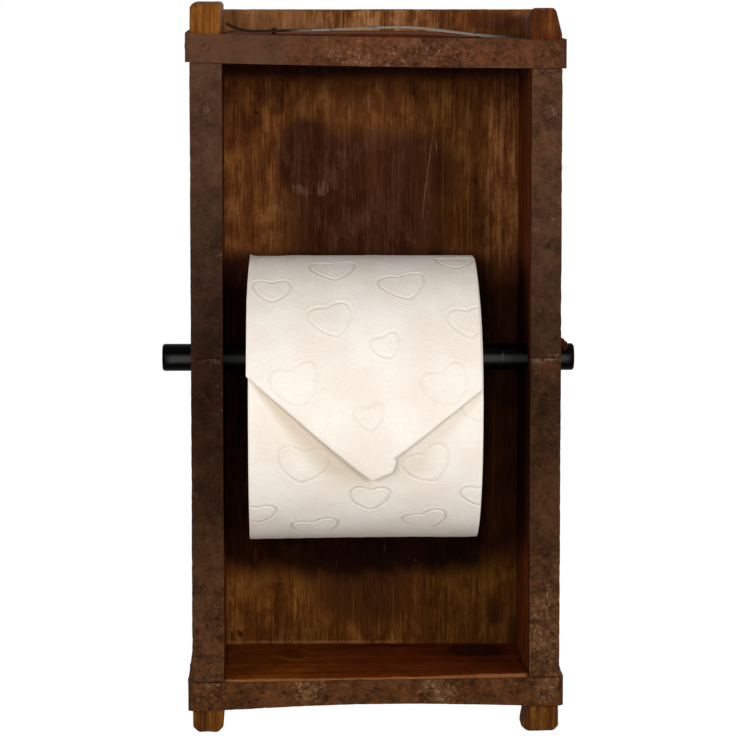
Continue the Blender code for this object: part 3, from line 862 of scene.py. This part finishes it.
def makeStraps():
    marks = dict(bloom=bloom, orangeSpot=orangeSpot, seam=seamLine, calm=calm, greyer=greyer)
    finish = ironFinish("rustedBand", bandLook)
    for level, bend, seed in (("top", sagBand, 11), ("bottom", archBand, 12)):
        node = level + "_strap_band"
        bm = agedCopy(node, (0.0016, 0.004, 0.0015), iron, seed, bend, marks)
        settle(bm, "box", node, finish)

    left = ironFinish("rustedLeftStrip", stripLook)
    redder = dict(stripLook, rust=0.6, specks=0.7, shift=(0.9, 0.5, 0.3), orange=(84, 48, 29))
    redder["ramp"] = (
        (0, (82, 51, 28)), (0.18, (62, 38, 20)), (0.45, (50, 31, 17)),
        (0.72, (60, 39, 26)), (1, (80, 53, 34)),
    )
    right = ironFinish("rustedRightStrip", redder)
    for side, look, seed in (("left", left, 13), ("right", right, 15)):
        for half in ("upper", "lower"):
            node = f"{side}_edge_strip_{half}"
            steps = (0.0013, 0.0009, 0.0016)
            bm = agedCopy(node, steps, iron, seed + (half == "upper"), slipStrip, marks)
            settle(bm, "box", node, look)


def capFinish():
    finish = Finish("greyStrip", Specular_IOR_Level=0)
    plain = finish.space((1, 1, 1))
    scale = finish.noise(plain, 240, 5, 0.7, 0.5)
    # Painted light and shade: pale grey along the stretch and the front edge that catch the light,
    # dark brown where the strip lies in shade
    bright = finish.between(finish.axis("X"), -0.04, -0.026)
    bright = bright * finish.between(finish.axis("X"), 0.062, 0.04)
    front = finish.between(finish.axis("Y") + scale * 0.002, -0.0915, -0.093, 0.25, 1)
    color = finish.mix(bright * front, paint(44, 31, 23), paint(124, 115, 101))
    color = finish.over(finish.between(scale, 0.52, 0.66, 0, 0.7), color, (54, 40, 30))
    worn = finish.between(finish.mark("worn"), 0.4, 0.9, 0, 0.5)
    color = finish.over(worn * bright, color, (140, 132, 118))
    finish.color(color)
    finish.dull(0.68 - scale * 0.2)
    finish.relief(scale, 0.0005, 0.6)
    return finish


capWear = {"rise": 0.0009, "middle": 0.012, "width": 0.02}


def bowCap(p):
    bow = capWear["rise"] * hump(p.x, capWear["middle"], capWear["width"])
    return lift(bow - capDrop(p.x))


def makeCapStrip(finish):
    thin = dict(iron, fibreDepth=0.00005, dentDepth=0.00008, chipDepth=0.0003)
    bm = agedCopy("top_cap_strip", (0.002, 0.0015, 0.003), thin, 17, bowCap)
    settle(bm, "box", "top_cap_strip", finish)


makeStraps()
greyStrip = capFinish()
makeCapStrip(greyStrip)
print("Straps")


# Nails and screws

nailShape = {
    "headSides": 14,
    "headFlat": 0.62,  # share of the head's radius that is flat on top
    "roughness": 0.00016,  # hammer marks
    "height": 0.3,  # of the head, a share of its radius
    "flushHeight": 0.15,  # the same for the thin strip's tacks
    "sink": 0.0003,  # how far the head goes in
    "flushSink": 0.0006,
    "shank": 0.5,  # its radius, a share of the head's
}
noise.seed_set(3)  # so that noise_vector gives the same hammer marks in every run
screwShape = {"headHeight": 0.0012, "slotHalf": 0.00035}
headings = {
    "front": Vector((0, -1, 0)),
    "wall": Vector((0, 1, 0)),
    "left": Vector((-1, 0, 0)),
    "right": Vector((1, 0, 0)),
    "up": Vector((0, 0, 1)),
}


def nailFinish():
    finish = Finish("nailIron", Specular_IOR_Level=0.15)
    plain = finish.space((1, 1, 1))
    scale = finish.noise(plain, 700, 4, 0.7)
    shades = ((0.35, (34, 22, 15)), (0.55, (62, 40, 26)), (0.72, (104, 74, 50)))
    finish.color(finish.ramp(scale, shades))
    finish.dull(0.75 - scale * 0.25)
    finish.relief(scale, 0.0004, 0.6)
    return finish


def headingOf(node):
    if "corner_nail" in node:
        return "left" if "_left_" in node else "right"
    if node.startswith("back_") or "screw" in node:
        return "wall"
    return "up" if node.startswith("cap_") else "front"


def alongHeading(bm, node):
    # Turn a fastener made head up, with its head's underside at zero, and set it on its node
    heading = headings[headingOf(node)]
    low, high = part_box(node)
    middle = (low + high) / 2
    seat = middle + (high - low) / 2 * heading
    top = max(v.co.z for v in bm.verts)
    turn = Vector((0, 0, 1)).rotation_difference(heading).to_matrix().to_4x4()
    bmesh.ops.translate(bm, verts=bm.verts, vec=(0, 0, -top))
    bmesh.ops.transform(bm, matrix=Matrix.Translation(seat) @ turn, verts=bm.verts)


def fastenerSizes(node):
    # Head radius and whole length, read from the node
    low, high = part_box(node)
    sides = high - low
    axis = max(range(3), key=lambda i: sides[i])
    across = max(sides[i] for i in range(3) if i != axis)
    return across / 2, sides[axis]


def addCone(bm, sides, lower, upper, bottom, height):
    bmesh.ops.create_cone(
        bm, cap_ends=True, segments=sides, radius1=lower, radius2=upper, depth=height,
        matrix=Matrix.Translation((0, 0, bottom + height / 2)),
    )


def makeNail(node, finish, seed):
    radius, length = fastenerSizes(node)
    flush = node.startswith("cap_")
    headHeight = radius * nailShape["flushHeight" if flush else "height"]
    shank = radius * nailShape["shank"]
    bm = bmesh.new()
    flat = radius * nailShape["headFlat"]
    addCone(bm, nailShape["headSides"], radius * 0.98, flat, 0, headHeight)
    rims = [e for e in bm.edges if len(e.link_faces) == 2 and e.calc_face_angle() > 0.3]
    roundOff(bm, rims, radius * 0.12, 2)
    rim = bm.verts.layers.float.new("rim")
    for v in bm.verts:
        around = math.atan2(v.co.y, v.co.x)
        place = Vector((math.cos(around), math.sin(around), seed * 1.7)) * 1.3
        broken = smoothStep(noise.noise(place), -0.25, 0.15)
        out = math.hypot(v.co.x, v.co.y) / radius
        v[rim] = 1.25 * broken * smoothStep(out, 0.7, 0.9)
        nudge = noise.noise_vector(v.co * 900 + Vector((seed * 3.7, seed, 0)))
        v.co.z += min(0, nudge.z) * nailShape["roughness"] * 2
        v.co.xy += nudge.xy * nailShape["roughness"]
    addCone(bm, 8, shank * 0.35, shank, headHeight - length, length - headHeight)
    alongHeading(bm, node)
    # The nail goes in with its head, and down with the worn piece that it holds
    into = headings[headingOf(node)] * -nailShape["flushSink" if flush else "sink"]
    middle = sum(corner.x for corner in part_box(node)) / 2
    if flush:
        into.z -= capDrop(middle)
    elif node.startswith("top_"):
        into.z += strapSag(middle)
    bmesh.ops.translate(bm, verts=bm.verts, vec=into)
    settle(bm, "box", node, finish)


def makeScrew(node, finish):
    radius, length = fastenerSizes(node)
    headHeight, slotHalf = screwShape["headHeight"], screwShape["slotHalf"]
    bm = bmesh.new()
    addCone(bm, 28, radius, radius * 0.86, 0, headHeight)
    for side in (-slotHalf, slotHalf):
        cutThrough(bm, (side, 0, 0), (1, 0, 0))
    slot = [f for f in bm.faces if f.normal.z > 0.9 and abs(f.calc_center_median().x) < slotHalf]
    deeper = bmesh.ops.extrude_face_region(bm, geom=slot)["geom"]
    bmesh.ops.translate(bm, verts=[g for g in deeper if isinstance(g, bmesh.types.BMVert)],
                        vec=(0, 0, -headHeight * 0.5))
    bmesh.ops.delete(bm, geom=slot, context="FACES_ONLY")
    addCone(bm, 12, 0.0004, 0.0012, headHeight - length, length - headHeight)
    bmesh.ops.recalc_face_normals(bm, faces=bm.faces)
    alongHeading(bm, node)
    settle(bm, "box", node, finish, sharp=30)


def plateFinish():
    finish = Finish("hangerSteel", Specular_IOR_Level=0.5)
    plain = finish.space((1, 1, 1))
    scale = finish.noise(plain, 260, 5, 0.65)
    brushed = finish.noise(finish.space((900, 900, 40)), 1, 3)
    tarnish = finish.between(scale, 0.5, 0.68, 0, 0.75)
    finish.color(finish.mix(tarnish, paint(150, 146, 138), paint(104, 84, 62)))
    finish.dull(0.42 + tarnish * 0.35)
    finish.plug(finish.shader.inputs["Metallic"], 0.85 - tarnish * 0.6)
    finish.relief(brushed * 0.5 + scale * 0.5, 0.0002, 0.4)
    return finish


def makeFasteners():
    plain = nailFinish()
    bandNail = ironFinish("rustedBandNail", bandLook)
    stripNail = ironFinish("rustedStripNail", dict(stripLook, shift=(0.1, 0.9, 0.2)))
    steel = plateFinish()
    byKind = {"band": bandNail, "strip": stripNail, "cap": greyStrip}
    for seed, node in enumerate(sorted(nodes)):
        if "nail" in node:
            kind = [word for word in node.split("_") if word in byKind]
            makeNail(node, byKind[kind[0]] if kind else plain, seed)
        elif "screw" in node:
            makeScrew(node, steel)
    for side in ("left", "right"):
        plate = nodes[side + "_hanger_plate"].data
        plate.materials.clear()
        plate.materials.append(steel.material)


makeFasteners()
print("Nails and screws")


# Rod

rodLook = {
    "sides": 96,
    "endRound": 0.0013,
    "nick": (0.0561, -0.0815, 0.0046),  # a small bright one
    "black": (2, 2, 2),
    "height": 0.004,  # of the painted highlight stripe
    "front": -0.0816,
    "stripe": 0.0028,  # half its width
}


def rodFinish():
    finish = Finish("blackRod", Specular_IOR_Level=0.02)
    brushed = finish.noise(finish.space((60, 900, 900)), 1, 4, 0.6)
    scuffs = finish.noise(finish.space((240, 240, 240)), 1, 5, 0.7)
    chipped = finish.between(scuffs, 0.66, 0.72, 0, 0.5)
    x, y, z = rodLook["nick"]
    away = (finish.axis("X") - x).size() + (finish.axis("Z") - z).size() * 0.25
    nick = finish.between(away, 0.0009, 0.0003, 0, 0.6)
    # Painted highlight: a dull grey stripe along the middle of the side away from the wall
    away = (finish.axis("Z") - rodLook["height"]).size() + brushed * 0.0006
    paintedHighlight = finish.between(away, rodLook["stripe"], 0.0006)
    front = rodLook["front"]
    paintedHighlight = paintedHighlight * finish.between(finish.axis("Y"), front + 0.004, front + 0.002)
    low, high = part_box("roll_rod")
    away = (finish.axis("X") - (low.x + high.x) / 2).size() - (high.x - low.x) / 2
    paintedHighlight = paintedHighlight * finish.between(away, -0.0006, -0.0045)
    color = finish.mix(paintedHighlight, paint(*rodLook["black"]), paint(68, 68, 66))
    color = finish.over(chipped, color, (34, 31, 28))
    finish.color(finish.over(nick, color, (92, 88, 82)))
    finish.dull(0.2 + brushed * 0.1 + chipped * 0.2)
    finish.relief(brushed * 0.6 + scuffs * 0.4, 0.00008, 0.25)
    return finish


def makeRod():
    low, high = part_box("roll_rod")
    radius = (high.z - low.z) / 2
    middle = (low + high) / 2
    bm = bmesh.new()
    turn = Matrix.Rotation(math.pi / 2, 4, "Y")
    bmesh.ops.create_cone(
        bm, cap_ends=True, segments=rodLook["sides"], radius1=radius, radius2=radius,
        depth=high.x - low.x, matrix=Matrix.Translation(middle) @ turn,
    )
    rims = [e for e in bm.edges if e.calc_face_angle() > 1]
    roundOff(bm, rims, rodLook["endRound"], 6)
    bm.normal_update()
    faces = [f for f in bm.faces if abs(f.normal.x) > 0.9995]
    bmesh.ops.inset_individual(bm, faces=faces, thickness=radius * 0.35, depth=0)
    settle(bm, "rod", "roll_rod", rodFinish(), sharp=50)


makeRod()
print("Rod")


# Paper roll

roll = {
    "axis": (-0.0756, -0.0135),  # y and z
    "left": -0.0553,
    "right": 0.0447,
    "radius": 0.0618,
    "bore": 0.0253,
    "rim": 0.0007,  # rounding of the winding's edges
    "tear": 102.5,  # degrees from the top to the row of perforations
    "groove": (0.00042, 0.00046),  # depth and width of the embossed line
    "tailLeft": -0.0561,  # the loose end's edges where its folds begin
    "tailRight": 0.0439,
    "covered": 330,  # degrees from the top, past which the loose end lies over the winding
    "tailStart": -0.036,  # along the paper, from the roll's top
    "tailEnd": 0.1265,
    "foldLeft": 0.0812,  # where the folds begin on the left and right edges
    "foldRight": 0.0872,
    "slopeLeft": 0.0529 / 0.0453,  # of the folded edges, across over down
    "slopeRight": 0.0352 / 0.0278,
    "torn": 0.115,  # where the torn tip begins
    "under": 0.00035,  # how far the loose end lies off the winding
    "loose": 0.0006,
    "hang": 0.0016,
    "sheet": 0.00045,  # thickness of the loose end
}
# Embossed hearts: x in mm, degrees from the roll's top, width in mm, tilt in degrees
tailHearts = (
    (-18.6, 21.9, 19.4, 5), (-45.0, 36.6, 15.8, 0), (-19.4, 51.7, 18.6, 18), (11.7, 33.8, 19.4, 15),
    (34.5, 14.0, 16, 4), (3.8, 63.1, 12.8, 20), (39.0, 52.8, 17, 8), (-34.5, 79.0, 21, 18),
    (29.1, 79.5, 20, 24), (-3.6, 91.9, 13, 10), (4.0, -7.0, 18, -12), (-34.0, -12.0, 18, 10),
    (32.0, -12.0, 16, 6),
)
windingHearts = (
    (-32.0, 112.1, 21.5, -6), (21.7, 112.3, 20, 25), (-3.3, 128.8, 17, 0),
    (-25.9, 150.4, 20, 14), (-51.4, 138.7, 16, 0), (21.6, 144.1, 18.6, 20), (42.5, 88.0, 15, 10),
    (43.5, 127.3, 15, 10), (0.0, 178.0, 19, -10), (-38.0, 186.0, 18, 12), (34.0, 176.0, 19, 5),
    (-12.0, 204.0, 15, 16), (22.0, 214.0, 20, -6), (-40.0, 226.0, 17, 10), (-4.0, 238.0, 18, 8),
    (36.0, 248.0, 16, -12), (-28.0, 260.0, 19, 4), (12.0, 268.0, 18, 15), (-47.0, 278.0, 16, 0),
    (34.0, 284.0, 18, -8), (-8.0, 292.0, 19, 12), (-36.0, 304.0, 18, -6), (16.0, 312.0, 17, 8),
    (41.0, 314.0, 15, 14),
)


def heartLine(width, tall, wobble):
    # A circle whose sides are raised, which makes round lobes and a blunt point
    t = np.linspace(0, 2 * np.pi, 72, endpoint=False)
    across = np.sin(t)
    up = tall * (np.cos(t) + (0.66 + 0.1 * np.cos(t)) * np.abs(across)) - 0.08
    up += 0.02 * np.sin(3 * t + wobble)
    across = across * (1 + 0.03 * np.sin(2 * t + wobble * 2))
    return np.stack([across, up], 1) * width / 2


def emboss(x, s, hearts, tall):
    # Height of the paper's surface at x and the distance s along it, and where its lines get
    # painted shade
    height = np.zeros_like(x)
    lineShade = np.zeros_like(x)
    depth, reach = roll["groove"]
    for middle, degrees, width, tilt in hearts:
        middle, width = middle / 1000, width / 1000
        down = math.radians(degrees) * roll["radius"]
        near = np.flatnonzero(np.hypot(x - middle, s - down) < width)
        if not near.size:
            continue
        turn = math.radians(tilt)
        u, v = x[near] - middle, down - s[near]
        u, v = u * math.cos(turn) + v * math.sin(turn), v * math.cos(turn) - u * math.sin(turn)
        line = heartLine(width, tall, degrees)
        away = np.hypot(u[:, None] - line[:, 0], v[:, None] - line[:, 1]).min(1)
        groove = hump(away, 0, reach)
        beside = hump(away, 2.6 * reach, reach)
        pillow = hump(np.hypot(u, v), 0, 0.27 * width)
        lineShade[near] = np.maximum(lineShade[near], groove)
        height[near] += depth * (0.3 * beside + 0.45 * pillow - groove)
    return height, lineShade


def fainter(s):
    # The painted shade in the embossed lines is least where the roll faces forward and the light
    # falls straight on
    return 0.28 + 0.72 * np.clip((np.abs(s - 0.082) - 0.028) / 0.03, 0, 1)


def tailEdge(s):
    # Left and right edges of the folded loose end, at the distance s from the roll's top
    end = roll["tailEnd"]
    down = (0, 0.045, roll["foldLeft"], end)
    left = np.interp(s, down, (-0.0545, -0.0559, roll["tailLeft"], -0.0032))
    torn = (  # distance down, x
        (0, 0.0428), (roll["foldRight"], roll["tailRight"]), (0.1152, 0.0085), (0.116, 0.007),
        (0.1185, 0.0075), (0.1215, 0.0066), (0.1228, 0.0062), (0.124, 0.0032),
        (0.1252, 0.0012), (end, -0.0024),
    )
    return left, np.interp(s, *zip(*torn))


def tailLift(s):
    # It starts beneath the winding's skin, lies loosely on it and hangs off it at the front
    start = np.clip((s - roll["tailStart"]) / 0.012, 0, 1)
    hang = np.clip((s - 0.07) / (roll["tailEnd"] - 0.07), 0, 1)
    loose = np.clip((s + 0.02) / 0.07, 0, 1)
    return roll["under"] * start + roll["loose"] * loose + roll["hang"] * hang ** 1.4


def onRoll(x, s, rise):
    angle = s / roll["radius"]
    y, z = roll["axis"]
    reach = roll["radius"] + rise
    return x, y - reach * np.sin(angle), z + reach * np.cos(angle)


def softNoise(x, s, scale, seed):
    # Slow hills and hollows over the paper, from -1 to 1
    return np.array([noise.noise(Vector((a * scale, b * scale, seed))) for a, b in zip(x, s)])


def setPlaces(bm, x, y, z):
    for v, place in zip(bm.verts, zip(x.tolist(), y.tolist(), z.tolist())):
        v.co = place


def setMark(bm, name, shares):
    layer = bm.verts.layers.float.new(name)
    for v, share in zip(bm.verts, shares.tolist()):
        v[layer] = share


def gridShares(bm, columns, rows):
    # Whole column and row numbers of a fresh grid's vertices
    places = np.array([v.co[:2] for v in bm.verts])
    column = np.rint((places[:, 0] + 1) / 2 * columns).astype(int)
    row = np.rint((places[:, 1] + 1) / 2 * rows).astype(int)
    return column, row


def makeLooseEnd(finish):
    back = np.linspace(roll["tailStart"], 0.004, 58, endpoint=False)
    front = np.linspace(0.004, roll["tailEnd"], 244)
    rowPlaces = np.concatenate([back, front])
    columns, rows = 160, len(rowPlaces) - 1
    bm = bmesh.new()
    bmesh.ops.create_grid(bm, x_segments=columns, y_segments=rows, size=1)
    column, row = gridShares(bm, columns, rows)
    s = rowPlaces[row]
    left, right = tailEdge(s)
    share = column / columns
    torn = np.clip((s - roll["torn"]) / 0.002, 0, 1)
    ragged = torn * share ** 8 * softNoise(s, s, 900, 3.0) * 0.0012
    x = left + (right - left) * share + ragged
    # Distance from the folded edges
    nearLeft = (x - left) / math.hypot(1, roll["slopeLeft"])
    nearRight = (right - x) / math.hypot(1, roll["slopeRight"])
    nearRight = np.where(s > roll["foldRight"], nearRight, 1)
    folded = s > roll["foldLeft"]
    edge = np.where(folded, np.minimum(nearLeft, nearRight), 1)
    curl = 0.0006 * (1 - np.sqrt(1 - (1 - np.clip(edge / 0.0013, 0, 1)) ** 2))
    hearts, lineShade = emboss(x, s, tailHearts, 0.76)
    rise = tailLift(s) + hearts * np.clip(edge / 0.003, 0.2, 1)
    rise += 0.00022 * softNoise(x, s, 45, 1.0) + 0.00008 * softNoise(x, s, 140, 2.0)
    rise += 0.0003 * hump(edge, 0.003, 0.0022) * folded
    rise += 0.0013 * hump(x, roll["tailLeft"], 0.0022) * hump(s, 0.001, 0.004)
    setPlaces(bm, *onRoll(x, s, rise - curl))
    setMark(bm, "groove", lineShade * fainter(s))
    bmesh.ops.recalc_face_normals(bm, faces=bm.faces)
    bm.faces.ensure_lookup_table()
    sample = bm.faces[len(bm.faces) // 2]
    if sample.normal.dot(sample.calc_center_median() - Vector((0, *roll["axis"]))) < 0:
        bmesh.ops.reverse_faces(bm, faces=bm.faces)
    bmesh.ops.solidify(bm, geom=bm.faces[:], thickness=roll["sheet"])
    settle(bm, "roll", "paper_roll", finish, 70, "looseEnd")


def windingProfile():
    # From the bore out across the left end, over the paper and back in across the right end
    rim, bore, radius = roll["rim"], roll["bore"], roll["radius"]
    face = np.linspace(bore, radius - rim, 22)
    ripple = np.array([0.00022 * abs(noise.noise(Vector((r * 2400, 0, 7)))) for r in face])
    corner = np.linspace(0, math.pi / 2, 5)[1:-1]
    outer = np.linspace(roll["left"] + rim, roll["right"] - rim, 152)
    leftX = roll["left"] + ripple
    rightX = roll["right"] - ripple
    x = np.concatenate([
        leftX, roll["left"] + rim - rim * np.cos(corner), outer,
        roll["right"] - rim + rim * np.sin(corner), rightX[::-1], [leftX[0]],
    ])
    r = np.concatenate([
        face, radius - rim + rim * np.sin(corner), np.full(outer.size, radius),
        radius - rim + rim * np.cos(corner), face[::-1], [bore],
    ])
    first = face.size + corner.size
    return x, r, first, first + outer.size


def foldShadowShare(x, s):
    # Painted shadow: the paper is darker beside the fold, where the loose end stands off it
    left, right = tailEdge(s)
    reach = 0.0008 + 0.5 * np.clip(s - roll["foldLeft"], 0, 0.04)
    onLeft = np.clip((left - x) / reach / 0.55 - 0.82, 0, 1)
    onRight = np.clip((x - right) / reach / 0.55 - 0.82, 0, 1)
    dim = np.where(x > right, 0.5 * (1 - onRight ** 1.3), 1)
    dim = np.where(x < left, 1 - onLeft ** 1.3, dim)
    return dim * np.clip((s - 0.08) / 0.008, 0, 1) * np.clip((0.1345 - s) / 0.011, 0, 1)


def ringNoise(angles, size, seed):
    # A slow wobble around the roll
    places = [Vector((math.sin(a) * size, math.cos(a) * size, seed)) for a in angles]
    return np.array([noise.noise(place) for place in places])


def makeWinding(finish):
    x, r, first, last = windingProfile()
    # Fine steps in front, and coarse ones where the loose end covers the paper
    starts = np.radians((64, 168, roll["covered"], 64 + 360))
    fine = np.linspace(starts[0], starts[1], 200, endpoint=False)
    rear = np.linspace(starts[1], starts[2], 226, endpoint=False)
    hidden = np.linspace(starts[2], starts[3], 32)
    angles = np.concatenate([fine, rear, hidden])
    columns, rows = len(x) - 1, len(angles) - 1
    bm = bmesh.new()
    bmesh.ops.create_grid(bm, x_segments=columns, y_segments=rows, size=1)
    column, row = gridShares(bm, columns, rows)
    angle = angles[row % rows]
    px, pr = x[column], r[column]
    s = np.where(angle > starts[2], angle - 2 * math.pi, angle) * roll["radius"]
    onPaper = (column >= first) & (column < last)
    inset = np.minimum(px - roll["left"], roll["right"] - px)
    hearts, lineShade = emboss(px, s, windingHearts, 0.72)
    height = np.where(onPaper, hearts, 0) * np.clip(inset / 0.002, 0, 1)
    tear = math.radians(roll["tear"]) * roll["radius"]
    height -= onPaper * 0.00016 * hump(s, tear, 0.0006)
    height -= onPaper * 0.00012 * (0.5 + 0.5 * np.sin(px * 700) * np.cos(s * 90))
    wobble = ringNoise(angles, 2, 5)
    outward = np.clip((pr - roll["bore"]) / (roll["radius"] - roll["bore"]), 0, 1)
    pr = pr + height - 0.0003 * outward * (0.5 + 0.5 * wobble[row % rows])
    bow = 0.0004 * outward * ringNoise(angles, 1, 9)[row % rows]
    px = px + np.where(onPaper, 0, np.abs(bow) * np.where(px < 0, 1, -1))
    # Wound a little narrower towards the top
    px = px * (1 - 0.022 * outward * np.clip(np.cos(angle), 0, 1) ** 4)
    # Underneath it hangs a little at the left end
    sag = 0.001 * hump(s, math.pi * roll["radius"], 0.02)
    pr = pr + sag * np.clip(-px / 0.055, 0, 1) * outward
    y, z = roll["axis"]
    setPlaces(bm, px, y - pr * np.sin(angle), z + pr * np.cos(angle))
    setMark(bm, "tucked", foldShadowShare(px, s) * onPaper)
    setMark(bm, "groove", lineShade * onPaper * fainter(s))
    bmesh.ops.remove_doubles(bm, verts=bm.verts, dist=0.0000005)
    bmesh.ops.recalc_face_normals(bm, faces=bm.faces)
    settle(bm, "roll", "paper_roll", finish, 60, "paperWinding")


def paperFinish():
    finish = Finish("softTissue", Specular_IOR_Level=0.12, Roughness=0.95)
    plain = finish.space((1, 1, 1))
    crepe = finish.noise(finish.space((520, 1200, 1200)), 1, 4, 0.7)
    fluff = finish.noise(plain, 1500, 3, 0.7)
    clouds = finish.noise(plain, 42, 3, 0.5)
    y, z = roll["axis"]
    radial = finish.add("ShaderNodeVectorMath", {"operation": "LENGTH"},
                        {0: finish.space((0, 1, 1), shift=(0, -y, -z))}, "Value")
    layers = (radial * 9000).sine() * 0.5 + 0.5
    ends = finish.between(radial, roll["radius"] - 0.0005, roll["radius"] - 0.0012)
    color = finish.between(clouds, 0.35, 0.65)
    color = finish.mix(color, paint(246, 238, 228), paint(240, 229, 216))
    color = finish.over(layers * ends * 0.22, color, (206, 192, 174))
    hollows = finish.between(crepe * 0.4 + fluff * 0.6, 0.5, 0.66, 0, 0.4)
    color = finish.over(hollows, color, (222, 208, 190))
    # Painted shadow beside the fold
    color = finish.over(finish.mark("tucked") * 0.9, color, (214, 198, 176))
    # Painted shade in the embossed lines
    color = finish.over(finish.mark("groove") * 0.65, color, (186, 171, 152))
    finish.color(color)
    finish.relief(crepe * 0.6 + fluff * 0.4 + clouds * 0.3 + layers * ends * 0.3, 0.0005, 0.8)
    return finish


def coreFinish():
    finish = Finish("greyBoardCore", Specular_IOR_Level=0.2, Roughness=0.9)
    spiral = finish.noise(finish.space((700, 120, 120), turn=(0, 0, 0.5)), 1, 4, 0.6)
    fibres = finish.noise(finish.space((1, 1, 1)), 1600, 3, 0.7)
    color = finish.ramp(spiral, ((0.3, (146, 122, 96)), (0.7, (182, 156, 124))))
    finish.color(finish.over(finish.between(fibres, 0.6, 0.75, 0, 0.5), color, (118, 96, 72)))
    finish.relief(spiral * 0.5 + fibres * 0.5, 0.0002, 0.5)
    return finish


def makeCore():
    low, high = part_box("roll_core")
    outer = (high.z - low.z) / 2
    middle = (low + high) / 2
    bm = bmesh.new()
    wall = 0.001
    corners = ((low.x, outer - wall), (low.x, outer), (high.x, outer), (high.x, outer - wall))
    ring = [bm.verts.new((x, middle.y, middle.z + r)) for x, r in corners]
    edges = [bm.edges.new((ring[i], ring[(i + 1) % 4])) for i in range(4)]
    bmesh.ops.spin(bm, geom=edges, cent=middle, axis=(1, 0, 0), angle=2 * math.pi,
                   steps=120, use_merge=True)
    bmesh.ops.remove_doubles(bm, verts=bm.verts, dist=0.0000005)
    bmesh.ops.recalc_face_normals(bm, faces=bm.faces)
    settle(bm, "roll", "roll_core", coreFinish())


tissue = paperFinish()
makeWinding(tissue)
makeLooseEnd(tissue)
makeCore()
print("Paper roll")
